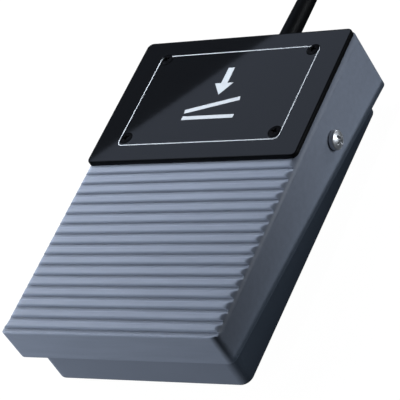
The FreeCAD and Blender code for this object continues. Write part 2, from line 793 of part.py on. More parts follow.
def make_pivot_hardware():
    screws = []
    inserts = []
    for index, side in enumerate((1, -1)):
        outward = Rotation(Vector(0, 1, 0), 90 * side)
        plane = f"{side} * ({COVER_HALF} + pivotEndPlay)"
        shoulder_length = f"({COVER_HALF} + pivotEndPlay - {SHOULDER_SEAT})"
        blank = screw(f"pivot_blank{index}", (plane, "pivotBack", "pivotHeight"), "pivotHeadRadius",
                      "pivotHeadHeight * (1 - domeShare)", "pivotHeadHeight * domeShare",
                      "shoulderRadius", shoulder_length, outward)
        thread_low = SHOULDER_SEAT if side < 0 else f"({SHOULDER_SEAT} - pivotThreadLength)"
        thread_start = f"{side} * {thread_low}"
        thread = round_bar(f"pivot_thread{index}", "x", (thread_start, "pivotBack", "pivotHeight"),
                           "pivotThreadRadius", "pivotThreadLength")
        screws.append(fuse(f"pivot_screw{index}", [blank, thread]))
        insert_start = f"{side} * ({SHOULDER_SEAT}{'' if side < 0 else ' - insertLength'})"
        place = (insert_start, "pivotBack", "pivotHeight")
        tube = round_bar(f"insert_tube{index}", "x", place, "insertRadius", "insertLength")
        bore = round_bar(f"insert_bore{index}", "x", place, "pivotThreadRadius + slipGap", "insertLength")
        inserts.append(cut(f"pivot_insert{index}", tube, [bore]))
    keep(group("pivot_screw_group", screws), "pivot_screws")
    keep(group("pivot_insert_group", inserts), "pivot_inserts")


# Circuit board and what is soldered on it

def terminal_places():
    first = f"({SWITCH_FRONT} + (switchLength - 2 * terminalPitch) / 2)"
    return [f"({first} + {index} * terminalPitch)" for index in range(3)]


def pin_places():
    count = int(number("pinCount"))
    return [f"(({index} - (pinCount - 1) / 2) * pinPitch)" for index in range(count)]


def make_board():
    plate = box("board_plate", ("0 - boardWidth / 2", "boardWidth / 2"),
                (BOARD_FRONT, f"{BOARD_FRONT} + boardLength"), (BOARD_BOTTOM, BOARD_TOP))
    holes = [
        round_bar(f"board_hole{index}", "z", (across, along, BOARD_BOTTOM),
                  "smallHoleRadius", "boardThickness")
        for index, (across, along) in enumerate(board_hole_places())
    ]
    for index, along in enumerate(terminal_places()):
        holes.append(round_bar(f"terminal_hole{index}", "z", ("0", along, BOARD_BOTTOM),
                               "terminalHoleRadius", "boardThickness"))
    for index, across in enumerate(pin_places()):
        holes.append(round_bar(f"pin_hole{index}", "z", (across, HEADER_MIDDLE, BOARD_BOTTOM),
                               "pinBoardHoleRadius", "boardThickness"))
    keep(cut("board", plate, holes), "circuit_board")
    screws = [
        screw(f"board_screw{index}", (across, along, BOARD_TOP), "smallHeadRadius",
              "smallHeadHeight * (1 - domeShare)", "smallHeadHeight * domeShare",
              "smallShankRadius", "boardScrewLength")
        for index, (across, along) in enumerate(board_hole_places())
    ]
    keep(group("board_screw_group", screws), "board_screws")


def make_switch():
    half = "(switchWidth / 2)"
    case = box("switch_case", (f"0 - {half}", half), (SWITCH_FRONT, f"{SWITCH_FRONT} + switchLength"),
               (BOARD_TOP, SWITCH_TOP))
    solids = [case]
    lug_inner = "(leverWidth / 2 + looseGap)"
    pin_half = f"({lug_inner} + lugThickness)"
    for index, start in enumerate((lug_inner, f"0 - {pin_half}")):
        solids.append(box(f"switch_lug{index}", (start, f"{start} + lugThickness"),
                          (f"{HINGE_BACK} - lugRadius", f"{HINGE_BACK} + lugRadius"),
                          (f"{SWITCH_TOP} - lugRadius", HINGE_HEIGHT)))
        solids.append(round_bar(f"switch_lug_top{index}", "x", (start, HINGE_BACK, HINGE_HEIGHT),
                                "lugRadius", "lugThickness"))
    plunger_back = f"({HINGE_BACK} + plungerReach)"
    plunger_low = f"({PLUNGER_HEIGHT} - plungerLength)"
    bore_low = f"{plunger_low} - plungerTravel - boreSpare"
    tools = [round_bar("plunger_bore", "z", ("0", plunger_back, bore_low),
                       "plungerRadius + hingeClearance", "plungerLength + switchHeight")]
    tools.append(round_bar("lug_bore", "x", (f"0 - {pin_half}", HINGE_BACK, HINGE_HEIGHT),
                           "hingePinRadius + slipGap / 2", f"2 * {pin_half}"))
    for index in range(2):
        along = f"{SWITCH_FRONT} + switchHoleFirst + {index} * switchHolePitch"
        place = (f"0 - {half}", along, f"{BOARD_TOP} + switchHoleHeight")
        tools.append(round_bar(f"switch_hole{index}", "x", place, "switchHoleRadius", "switchWidth"))
    keep(cut("switch_shell", fuse("switch_blank", solids), tools), "switch_body")
    keep(round_bar("hinge_pin", "x", (f"0 - {pin_half}", HINGE_BACK, HINGE_HEIGHT),
                   "hingePinRadius", f"2 * {pin_half}"), "switch_hinge_pin")

    tip = doc.addObject("Part::Sphere", "plunger_tip")
    bind(tip, "Radius", "plungerRadius")
    bind(tip, "Placement.Base.y", plunger_back)
    bind(tip, "Placement.Base.z", PLUNGER_HEIGHT)
    stem = round_bar("plunger_stem", "z", ("0", plunger_back, plunger_low),
                     "plungerRadius", "plungerLength")
    keep(fuse("plunger", [tip, stem]), "switch_plunger")

    strip = box("lever_strip", ("0 - leverWidth / 2", "leverWidth / 2"),
                ("knuckleRadius / 2", "leverLength"), ("0 - leverThickness / 2", "leverThickness / 2"))
    knuckle = round_bar("lever_knuckle", "x", ("0 - leverWidth / 2", "0", "0"),
                        "knuckleRadius", "leverWidth")
    eye = round_bar("lever_eye", "x", ("0 - leverWidth / 2", "0", "0"),
                    "hingePinRadius + hingeClearance", "leverWidth")
    lever = cut("lever", fuse("lever_blank", [strip, knuckle]), [eye])
    lever.Placement = FreeCAD.Placement(Vector(), Rotation(Vector(1, 0, 0), number("leverRest")))
    bind(lever, "Placement.Base.y", HINGE_BACK)
    bind(lever, "Placement.Base.z", HINGE_HEIGHT)
    bind(lever, "Placement.Rotation.Angle", "leverRest")
    keep(lever, "switch_lever")

    terminals = [
        box(f"terminal{index}", ("0 - terminalThickness / 2", "terminalThickness / 2"),
            (f"{along} - terminalWidth / 2", f"{along} + terminalWidth / 2"),
            (f"{BOARD_BOTTOM} - terminalReachShare * {BOARD_GAP}", BOARD_TOP))
        for index, along in enumerate(terminal_places())
    ]
    keep(group("terminal_group", terminals), "switch_terminals")


def make_board_parts():
    middle = f"({BOARD_FRONT} + chipBack)"
    low = f"({middle} - chipLength / 2)"
    keep(box("chip", ("chipSide - chipWidth / 2", "chipSide + chipWidth / 2"), (low, f"{low} + chipLength"),
             (BOARD_TOP, f"{BOARD_TOP} + chipHeight")), "controller_chip")
    leads = []
    for pin in range(int(number("chipPins"))):
        along = f"({middle} + ({pin} - (chipPins - 1) / 2) * chipPitch)"
        across_bounds = (
            ("chipSide + chipWidth / 2", "chipSide + chipWidth / 2 + leadLength"),
            ("chipSide - chipWidth / 2 - leadLength", "chipSide - chipWidth / 2"),
        )
        along_bounds = (f"{along} - leadWidth / 2", f"{along} + leadWidth / 2")
        for side, bounds in enumerate(across_bounds):
            leads.append(box(f"lead{pin}_{side}", bounds, along_bounds,
                             (BOARD_TOP, f"{BOARD_TOP} + leadHeight")))
    keep(group("lead_group", leads), "chip_leads")

    middle = f"({BOARD_FRONT} + crystalBack)"
    half_straight = "((crystalLength - crystalWidth) / 2)"
    straight = box("crystal_middle",
                   ("0 - crystalSide - crystalWidth / 2", "crystalWidth / 2 - crystalSide"),
                   (f"{middle} - {half_straight}", f"{middle} + {half_straight}"),
                   (BOARD_TOP, f"{BOARD_TOP} + crystalHeight"))
    ends = [
        round_bar(f"crystal_end{index}", "z",
                  ("0 - crystalSide", f"{middle} + {sign} * {half_straight}", BOARD_TOP),
                  "crystalWidth / 2", "crystalHeight")
        for index, sign in enumerate((-1, 1))
    ]
    keep(fuse("crystal", [straight] + ends), "crystal_can")

    column = [("(0 - smdSide)", f"(smdFirst + {step} * smdPitch)") for step in range(4)]
    behind = "(chipBack + smdBehindChip)"
    small_parts = (
        ("chip_capacitors", "capacitorHeight",
         column[:3] + [("smdSide", "smdFirst"), ("chipSide", behind)]),
        ("chip_resistors", "resistorHeight",
         column[3:] + [("smdSide", behind), ("(chipSide + smdPitch)", behind),
                       ("(0 - crystalSide - smdPitch)", behind)]),
    )
    for node, height, places in small_parts:
        blocks = []
        for index, (across, along) in enumerate(places):
            along_low = f"({BOARD_FRONT} + {along} - smdWidth / 2)"
            blocks.append(box(f"{node}_{index}",
                              (f"{across} - smdLength / 2", f"{across} + smdLength / 2"),
                              (along_low, f"{along_low} + smdWidth"),
                              (BOARD_TOP, f"{BOARD_TOP} + {height}")))
        keep(group(f"{node}_group", blocks), node)


def make_connector():
    half_length = "(headerLength / 2)"
    half_width = "(headerWidth / 2)"
    shroud = box("header_block", (f"0 - {half_length}", half_length),
                 (f"{HEADER_MIDDLE} - {half_width}", f"{HEADER_MIDDLE} + {half_width}"),
                 (BOARD_TOP, f"{BOARD_TOP} + headerHeight"))
    hollow_half = f"({half_width} - headerWall)"
    hollow = box("header_hollow", (f"headerWall - {half_length}", f"{half_length} - headerWall"),
                 (f"{HEADER_MIDDLE} - {hollow_half}", f"{HEADER_MIDDLE} + {hollow_half}"),
                 (f"{BOARD_TOP} + headerFloor", f"{BOARD_TOP} + headerHeight + cutOver"))
    housing_low = f"({BOARD_TOP} + headerFloor)"
    inner_length = f"({half_length} - headerWall - housingClearance)"
    inner_width = f"({half_width} - headerWall - housingClearance)"
    housing = box("housing_block", (f"0 - {inner_length}", inner_length),
                  (f"{HEADER_MIDDLE} - {inner_width}", f"{HEADER_MIDDLE} + {inner_width}"),
                  (housing_low, f"{housing_low} + housingHeight"))
    pins = []
    header_holes = []
    housing_holes = []
    pin_low = f"({BOARD_BOTTOM} - pinReachShare * {BOARD_GAP})"
    for index, across in enumerate(pin_places()):
        side = ("pinSide", "pinHoleSide")
        spans = [
            ((f"{across} - {name} / 2", f"{across} + {name} / 2"),
             (f"{HEADER_MIDDLE} - {name} / 2", f"{HEADER_MIDDLE} + {name} / 2"))
            for name in side
        ]
        pins.append(box(f"pin{index}", *spans[0], (pin_low, f"{pin_low} + pinLength")))
        header_holes.append(box(f"header_hole{index}", *spans[1], (BOARD_TOP, housing_low)))
        housing_holes.append(box(f"housing_hole{index}", *spans[1],
                                 (housing_low, f"{pin_low} + pinLength + boreSpare")))
    keep(cut("header", shroud, [hollow] + header_holes), "cable_header")
    keep(cut("housing", housing, housing_holes), "cable_housing")
    keep(group("pin_group", pins), "header_pins")


# Cord parts that the base holds

def make_cord_grip():
    half = "(saddleWidth / 2)"
    clamp_low = "(cordHeight + clampGap)"
    bar = box("clamp_bar", (f"0 - {half}", half), (f"{SADDLE_BACK} - saddleLength", SADDLE_BACK),
              (clamp_low, f"{clamp_low} + clampThickness"))
    tools = [round_bar("clamp_groove", "y", ("0", f"{SADDLE_BACK} - saddleLength - cutOver", "cordHeight"),
                       "cordRadius + gripClearance", "saddleLength + 2 * cutOver")]
    screws = []
    for index, (across, along) in enumerate(mirrored_pair("clampScrewSpread / 2", SADDLE_MIDDLE)):
        tools.append(round_bar(f"clamp_hole{index}", "z", (across, along, clamp_low),
                               "smallHoleRadius", "clampThickness"))
        screws.append(screw(f"clamp_screw{index}", (across, along, f"{clamp_low} + clampThickness"),
                            "smallHeadRadius", "smallHeadHeight * (1 - domeShare)",
                            "smallHeadHeight * domeShare", "smallShankRadius", "clampScrewLength"))
    keep(cut("clamp", bar, tools), "cord_clamp")
    keep(group("clamp_screw_group", screws), "clamp_screws")

    flange_back = f"({BASE_BACK} - baseWall - slotClearance)"
    flange = box("relief_flange", ("0 - reliefFlangeHalf", "reliefFlangeHalf"),
                 (f"{flange_back} - reliefFlangeThickness", flange_back),
                 ("cordHeight - reliefFlangeHalf", "cordHeight + reliefFlangeHalf"))
    neck = round_bar("relief_neck", "y", ("0", flange_back, "cordHeight"), "reliefNeckRadius",
                     f"{BASE_BACK} + slotClearance - {flange_back}")
    tail = round_bar("relief_tail", "y", ("0", BASE_BACK, "cordHeight"),
                     "reliefStartRadius", "reliefLength", "reliefEndRadius")
    bore_low = f"({flange_back} - reliefFlangeThickness - cutOver)"
    bore = round_bar("relief_bore", "y", ("0", bore_low, "cordHeight"), "cordRadius + slipGap",
                     f"{RELIEF_END} + cutOver - {bore_low}")
    keep(cut("relief", fuse("relief_blank", [flange, neck, tail]), [bore]), "strain_relief")
    keep(round_bar("cord_inside", "y", ("0", CORD_INNER_END, "cordHeight"), "cordRadius",
                   f"{RELIEF_END} - {CORD_INNER_END}"), "cord_inner")


# Tubes along a path

def tube(edges, radius):
    """A round tube along edges that run on from each other. Its volume is compared with its length."""
    path = Part.Wire(edges)
    start = edges[0]
    profile = Part.Wire(Part.makeCircle(radius, start.valueAt(start.FirstParameter),
                                        start.tangentAt(start.FirstParameter)))
    solid = path.makePipeShell([profile], True, False)
    expected = math.pi * radius ** 2 * path.Length
    if abs(abs(solid.Volume) - expected) > 0.02 * expected:
        raise RuntimeError(f"tube volume {solid.Volume:.1f} is not {expected:.1f}")
    return solid, path.Length


def rounded_route(points):
    """Straight runs joined by tangent arcs, each as large as its two runs allow, and the radii."""
    edges = []
    radii = []
    start = points[0]
    for before, corner, after in zip(points, points[1:], points[2:]):
        inward = (corner - before).normalize()
        outward = (after - corner).normalize()
        turn = inward.getAngle(outward)
        setback = CORD_TURN_SHARE * min((corner - before).Length, (after - corner).Length)
        radii.append(setback / math.tan(turn / 2))
        arc_start = corner - inward * setback
        arc_end = corner + outward * setback
        bisector = (outward - inward).normalize()
        centre = arc_start + (bisector - inward * bisector.dot(inward)).normalize() * radii[-1]
        arc_middle = centre + (corner - centre).normalize() * radii[-1]
        edges.append(Part.LineSegment(start, arc_start).toShape())
        edges.append(Part.Arc(arc_start, arc_middle, arc_end).toShape())
        start = arc_end
    edges.append(Part.LineSegment(start, points[-1]).toShape())
    return edges, radii


def biarc(start, start_way, end, end_way):
    """Two circular arcs that leave one point and reach another with the given directions."""
    step = end - start
    ways = start_way + end_way
    spread = 2 * (1 - start_way.dot(end_way))
    along = step.dot(ways)
    reach = (-along + math.sqrt(along ** 2 + spread * step.dot(step))) / spread
    first_corner = start + start_way * reach
    second_corner = end - end_way * reach
    joint = (first_corner + second_corner) * 0.5
    arcs = []
    for low, corner, high in ((start, first_corner, joint), (joint, second_corner, end)):
        chord_middle = (low + high) * 0.5
        rise = (corner - chord_middle).Length
        half_chord = (high - low).Length / 2
        sagitta = half_chord * math.tan(math.atan2(rise, half_chord) / 2)
        arc_middle = chord_middle + (corner - chord_middle).normalize() * sagitta
        arcs.append(Part.Arc(low, arc_middle, high).toShape())
    return arcs


def way_along(curve, angle):
    """The direction of a curve at one of its angles."""
    return (curve(angle + TANGENT_STEP) - curve(angle - TANGENT_STEP)).normalize()


def wound_path(curve, turns):
    """Quarter-turn biarcs through a curve that is given by its angle."""
    edges = []
    for index in range(int(round(turns * 4))):
        low = index * math.pi / 2
        high = (index + 1) * math.pi / 2
        edges += biarc(curve(low), way_along(curve, low), curve(high), way_along(curve, high))
    return edges


def least_gap(edges, radius):
    """The least clear distance of a wound tube to its own other turns, measured on points."""
    points = []
    for edge in edges:
        count = max(2, int(edge.Length / GAP_SAMPLE) + 1)
        points += edge.discretize(count)[:-1]
    skip = int(8 * radius / GAP_SAMPLE)
    least = min(
        (points[one] - points[two]).Length
        for one in range(len(points))
        for two in range(one + skip, len(points))
    )
    return least - 2 * radius


def solid_node(shape, node):
    """A finished solid that is computed from the sheet's values."""
    feature = doc.addObject("Part::Feature", node)
    feature.Shape = shape
    return keep(feature, node)


# Return springs

def make_springs():
    wire = number("springWireRadius")
    radius = number("springRadius")
    low = number(FLOOR) + wire
    high = number(SPRING_TOP) - wire
    turns = number("springTurns")
    place = number(SPRING_PLACE)
    springs = []
    for side in (1, -1):
        middle = Vector(side * number("springSpread") / 2, place, 0)

        def helix(angle):
            return middle + Vector(radius * math.cos(angle), radius * math.sin(angle),
                                   low + (high - low) * angle / (2 * math.pi * turns))

        edges = wound_path(helix, turns)
        springs.append(tube(edges, wire)[0])
    print(f"springs: least gap between turns {least_gap(edges, wire):.2f} mm")
    solid_node(Part.makeCompound(springs), "return_springs")


# Free cord, its coil, the tie and the plug

def coil_curve():
    """The coil's centre line by its angle: spirals in and out, and a climb in each reversal's half turn."""
    middle = Vector(number("coilSide"), number("coilBack"), 0)
    pitch = number("coilPitch")
    half_turns = int(number("coilLayerHalfTurns"))
    layers = int(number("coilLayers"))
    spiral = half_turns * math.pi
    climb = math.pi
    rate = pitch / (2 * math.pi)
    outer = number("coilMiddleRadius") + rate * spiral / 2
    low = number("tieThickness + cordRadius")

    def curve(angle):
        layer = max(0, min(layers - 1, int(angle // (spiral + climb))))
        rest = angle - layer * (spiral + climb)
        inward = 1 if layer % 2 == 0 else -1
        start = outer if inward == 1 else outer - rate * spiral
        height = low + layer * pitch
        if rest <= spiral or layer == layers - 1:
            radius = start - inward * rate * rest
        else:
            over = rest - spiral
            radius = start - inward * rate * (spiral + over - over ** 2 / climb)
            height += pitch * (1 - math.cos(over)) / 2
        return middle + Vector(radius * math.cos(angle), radius * math.sin(angle), height)

    return curve, (layers * half_turns + layers - 1) / 2


def make_free_cord():
    """The free stretches and the coil of the cord. Their ends run straight and meet face to face."""
    radius = number("cordRadius")
    curve, turns = coil_curve()
    last = 2 * math.pi * turns
    entry_way = way_along(curve, 0)
    leaving_way = way_along(curve, last)
    coil_start = curve(0) - entry_way * 2 * radius
    coil_end = curve(last) + leaving_way * 2 * radius
    edges = [Part.LineSegment(coil_start, curve(0)).toShape()]
    edges += wound_path(curve, turns)
    edges.append(Part.LineSegment(curve(last), coil_end).toShape())
    coil, coil_length = tube(edges, radius)
    print(f"coil: {turns} turns, least gap between turns {least_gap(edges, radius):.2f} mm")
    solid_node(coil, "cord_coil")

    lead = [
        Vector(0, number(RELIEF_END), number("cordHeight")),
        Vector(0, 104, number("cordHeight")),
        Vector(2.5, 122.5, 9.0),
        Vector(9.5, 140.5, 3.8),
        Vector(19, 158.5, 2.5),
        Vector(27.5, 178, 2.5),
        coil_start - entry_way * 18,
        coil_start,
    ]
    plug_lead = [
        coil_end,
        coil_end + leaving_way * 12,
        Vector(-32.6, 194, 13.5),
        Vector(-28.2, 179.5, 6.5),
        Vector(number("plugSide"), number("plugBack") + 15, number("plugHeight")),
        Vector(number("plugSide"), number("plugBack"), number("plugHeight")),
    ]
    total = coil_length + number(f"{RELIEF_END} - {CORD_INNER_END}")
    for node, route in (("cord_lead", lead), ("cord_plug_lead", plug_lead)):
        edges, radii = rounded_route(route)
        solid, length = tube(edges, radius)
        total += length
        print(f"{node}: length {length:.1f} mm, radii", " ".join(f"{value:.0f}" for value in radii))
        solid_node(solid, node)
    print(f"cord: {coil_length:.0f} mm in the coil, {total:.0f} mm in all")


def make_tie():
    """A strap round the coil's bundle of turns, on the side away from the pedal."""
    half_spiral = "(coilPitch * coilLayerHalfTurns / 4)"
    reach = "(cordRadius + tieClearance)"
    inner = f"(coilBack + coilMiddleRadius - {half_spiral} - coilPitch / 4 - {reach})"
    outer = f"(coilBack + coilMiddleRadius + {half_spiral} + {reach})"
    top = "(tieThickness + 2 * cordRadius + (coilLayers - 1) * coilPitch + tieClearance)"
    strap = box("tie_strap", ("coilSide - tieWidth / 2", "coilSide + tieWidth / 2"),
                (f"{inner} - tieThickness", f"{outer} + tieThickness"), ("0", f"{top} + tieThickness"))
    hollow = box("tie_hollow", ("coilSide - tieWidth", "coilSide + tieWidth"),
                 (inner, outer), ("tieThickness", top))
    keep(cut("tie", strap, [hollow]), "cord_tie")


def make_plug():
    """A rectangular cable plug that lies flat, its mouth towards the pedal."""
    body_back = "(plugBack - plugTail)"
    body_front = f"({body_back} - overmouldLength)"
    low = "(plugHeight - overmouldThickness / 2)"
    block_body = doc.addObject("PartDesign::Body", "overmould_block")
    face = rectangle(sketch_on(block_body, "XZ_Plane", "overmould_face", f"0 - {body_back}"),
                     "plugSide - overmouldWidth / 2", "plugSide + overmouldWidth / 2",
                     low, f"{low} + overmouldThickness")
    block = pad(block_body, face, "overmouldLength")
    length = number("overmouldLength")

    def is_long_edge(edge):
        return edge.BoundBox.YLength > length - EDGE_MARGIN

    round_over(block_body, block, is_long_edge, "overmouldCorner")
    tail = round_bar("plug_tail", "y", ("plugSide", body_back, "plugHeight"),
                     "overmouldThickness / 2 - overmouldCorner / 2", "plugTail", "reliefEndRadius")
    keep(fuse("overmould", [block_body, tail]), "plug_overmould")

    half = "(shellWidth / 2)"
    shell_low = "(plugHeight - shellThickness / 2)"
    mouth = f"({body_front} - shellLength)"
    tube_block = box("shell_block", (f"plugSide - {half}", f"plugSide + {half}"), (mouth, body_front),
                     (shell_low, f"{shell_low} + shellThickness"))
    hollow = box("shell_hollow", (f"plugSide - {half} + shellSheet", f"plugSide + {half} - shellSheet"),
                 (f"{mouth} - cutOver", f"{body_front} + cutOver"),
                 (f"{shell_low} + shellSheet", f"{shell_low} + shellThickness - shellSheet"))
    latch_holes = []
    for index, side in enumerate((1, -1)):
        latch = f"(plugSide + {side} * latchSpread / 2)"
        latch_middle = f"{mouth} + latchBack"
        latch_holes.append(box(f"latch_hole{index}",
                               (f"{latch} - latchSide / 2", f"{latch} + latchSide / 2"),
                               (f"{latch_middle} - latchSide / 2", f"{latch_middle} + latchSide / 2"),
                               (f"{shell_low} + shellThickness - 2 * shellSheet",
                                f"{shell_low} + shellThickness + cutOver")))
    keep(cut("shell", tube_block, [hollow] + latch_holes), "plug_shell")

    tongue_half = f"({half} - shellSheet - slipGap)"
    tongue_low = f"({shell_low} + shellSheet)"
    tongue_top = f"({tongue_low} + tongueThickness)"
    keep(box("tongue", (f"plugSide - {tongue_half}", f"plugSide + {tongue_half}"),
             (f"{mouth} + tongueSetBack", body_front), (tongue_low, tongue_top)), "plug_tongue")
    contacts = []
    contact_low = f"({mouth} + 2 * tongueSetBack)"
    for index in range(int(number("pinCount"))):
        middle = f"(plugSide + ({index} - (pinCount - 1) / 2) * contactPitch)"
        contacts.append(box(f"contact{index}",
                            (f"{middle} - contactWidth / 2", f"{middle} + contactWidth / 2"),
                            (contact_low, f"{contact_low} + contactLength"),
                            (tongue_top, f"{tongue_top} + contactThickness")))
    keep(group("contact_group", contacts), "plug_contacts")


def make_wires():
    """Four wires from the cord's stripped end, up and over into the connector's housing."""
    housing_top = number(f"{BOARD_TOP} + headerFloor + housingHeight")
    connector = number(HEADER_MIDDLE)
    stripped = number(CORD_INNER_END)
    height = number("cordHeight")
    spread = number("wireSpread")
    straight = number("wireStraightShare") * (stripped - connector)
    for index, node in enumerate(("wire_red", "wire_white", "wire_green", "wire_black")):
        across = number(pin_places()[index])
        side = -1 if across < 0 else 1
        outer = abs(index - 1.5) > 1
        start = Vector(side * spread, stripped, height + (spread if outer else -spread))
        arch = housing_top + number("wireArchOuter" if outer else "wireArchInner")
        route = [
            start,
            start - Vector(0, straight, 0),
            Vector(across * number("wireNarrowing"), (connector + stripped) / 2,
                   arch - number("wireArchDrop")),
            Vector(across, connector, arch),
            Vector(across, connector, housing_top),
        ]
        solid_node(tube(rounded_route(route)[0], number("wireRadius"))[0], node)


make_base_tray()
make_feet_and_pads()
make_pivot_hardware()
make_springs()
make_board()
make_switch()
make_board_parts()
make_connector()
make_cord_grip()
make_wires()
make_pedal_cover()
make_label_plate()
make_label_screws()
make_free_cord()
make_tie()
make_plug()
doc.recompute()

for item in doc.Objects:
    if any(word in item.State for word in ("Invalid", "Error")):
        raise RuntimeError(f"{item.Name} is {item.State}")
for item in nodes:
    if item.Shape.isNull() or not item.Shape.isValid() or not item.Shape.Solids:
        raise RuntimeError(f"{item.Label} has no valid solid")

os.makedirs("parts", exist_ok=True)
for item in nodes:
    item.Shape.exportStep(f"parts/{item.Label}.step")
print(f"{len(nodes)} nodes, {sum(len(item.Shape.Solids) for item in nodes)} solids")
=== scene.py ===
import json
import math

import bpy
import numpy as np
from bpy.props import FloatProperty, FloatVectorProperty, IntProperty, PointerProperty
from mathutils import Matrix, Vector


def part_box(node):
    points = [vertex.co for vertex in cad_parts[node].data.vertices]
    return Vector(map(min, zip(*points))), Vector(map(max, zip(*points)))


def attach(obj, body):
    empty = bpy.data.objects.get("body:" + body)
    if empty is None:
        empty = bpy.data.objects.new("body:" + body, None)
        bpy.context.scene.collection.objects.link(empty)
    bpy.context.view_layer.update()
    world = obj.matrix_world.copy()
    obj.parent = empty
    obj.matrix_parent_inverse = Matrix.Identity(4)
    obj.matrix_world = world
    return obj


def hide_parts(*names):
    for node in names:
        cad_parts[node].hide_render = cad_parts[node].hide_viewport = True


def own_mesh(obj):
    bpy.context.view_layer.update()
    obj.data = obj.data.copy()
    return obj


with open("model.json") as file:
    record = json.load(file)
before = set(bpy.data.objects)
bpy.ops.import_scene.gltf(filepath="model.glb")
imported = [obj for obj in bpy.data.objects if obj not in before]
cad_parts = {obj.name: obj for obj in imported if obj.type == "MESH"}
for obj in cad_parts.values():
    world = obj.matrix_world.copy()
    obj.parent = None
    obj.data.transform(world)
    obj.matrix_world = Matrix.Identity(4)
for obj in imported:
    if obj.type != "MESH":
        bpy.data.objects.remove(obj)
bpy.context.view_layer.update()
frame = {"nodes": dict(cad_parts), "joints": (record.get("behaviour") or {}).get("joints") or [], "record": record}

bl_info = {
    "name": "Foot Pedal Switch",
    "version": (1, 0, 0),
    "blender": (4, 5, 0),
    "location": "View3D > Sidebar > Foot Pedal",
    "description": "Dresses the packed foot pedal switch with its surfaces, its cord and a small studio",
    "category": "Object",
}

MM = 0.001
SHARP_ANGLE = math.radians(35.0)
HINGE = next(joint for joint in frame["joints"] if joint["name"] == "pedal_hinge")
PIVOT = np.array(HINGE["pos_m"])
CORD_EXIT = (0.0, 0.086, 0.0131)
UP = Vector((0.0, 0.0, 1.0))


# Sizes and colours that a user may change

def number(name, default, description, **more):
    return FloatProperty(name=name, description=description, default=default, min=0.0, **more)


def length(name, default, description):
    return number(name, default, description, unit="LENGTH", subtype="DISTANCE", precision=4)


def vector(name, default, description, **more):
    return FloatVectorProperty(name=name, description=description, default=default, size=3, **more)


def colour(name, default, description):
    return vector(name, default, description, min=0.0, max=1.0, subtype="COLOR")


class PedalCoverSizes(bpy.types.PropertyGroup):
    """Sizes of the tread cover, in its own frame from its front edge"""
    cover_length: length("Length", 0.105, "From front to back")
    cover_width: length("Width", 0.070, "Width of the cover")
    wall: length("Wall", 0.0022, "Thickness of the side walls")
    roof: length("Roof", 0.0031, "Thickness of the tread over the hollow")
    front_skirt: length("Front skirt", 0.0108, "Height of the skirt at the front")
    rear_skirt: length("Rear skirt", 0.0205, "Height of the skirt at the back")
    corner_radius: length("Corner radius", 0.002, "Radius of the upright corners")
    front_edge: length("Front edge radius", 0.0007, "Radius of the tread's edge at the front and back")
    side_edge: length("Side edge radius", 0.0021, "Radius of the tread's edge along the sides")
    pivot_from_front: length("Pivot from front", 0.0738, "Pivot from the front edge")
    tread_above_pivot: length("Tread above pivot", 0.0099, "Height of the tread over the pivot axis")
    groove_first: length("First groove", 0.00145, "First groove from the front edge")
    groove_pitch: length("Groove pitch", 0.00358, "Distance from one groove to the next")
    groove_count: IntProperty(name="Grooves", description="Number of cross grooves", default=16, min=1)
    groove_floor: length("Groove floor", 0.0010, "Width of a groove's floor")
    groove_depth: length("Groove depth", 0.00082, "Depth of a groove")
    rib_edge: length("Rib front edge radius", 0.0004, "Radius along the front edge of a rib")
    rib_back: length("Rib back", 0.0021, "Length of a rib's rounded back")
    notch_radius: length("Cord notch radius", 0.0044, "Radius of the arch over the cord")
    notch_height: length("Cord height", 0.0131, "Height of the cord's middle over the ground")
    stiffener_side: length("Stiffener side", 0.0116, "Stiffeners from the middle")
    stiffener_width: length("Stiffener width", 0.0012, "Thickness of the stiffeners")
    stiffener_front: length("Stiffener front", 0.007, "Front end of the stiffeners")
    stiffener_back: length("Stiffener back", 0.047, "Back end of the stiffeners")
    stiffener_depth: length("Stiffener depth", 0.0018, "Depth of the stiffeners under the roof")
    spring_side: length("Spring side", 0.019, "Springs from the middle")
    spring_from_front: length("Spring from front", 0.0165, "Spring pegs from the front edge")
    peg_radius: length("Peg radius", 0.0028, "Radius of the spring pegs")
    peg_length: length("Peg length", 0.0024, "Length of the spring pegs under the roof")
    blade_from_front: length("Blade from front", 0.0455, "Switch blade from the front edge")
    blade_radius: length("Blade radius", 0.0015, "Radius of the blade's lower edge")
    blade_width: length("Blade width", 0.004, "Width of the blade")
    blade_reach: length("Blade reach", 0.00163, "Depth of the blade under the roof")
    rest_tilt: number("Rest tilt", math.radians(0.92), "Tilt of the tread at rest, down to the front",
                      unit="ROTATION", subtype="ANGLE")


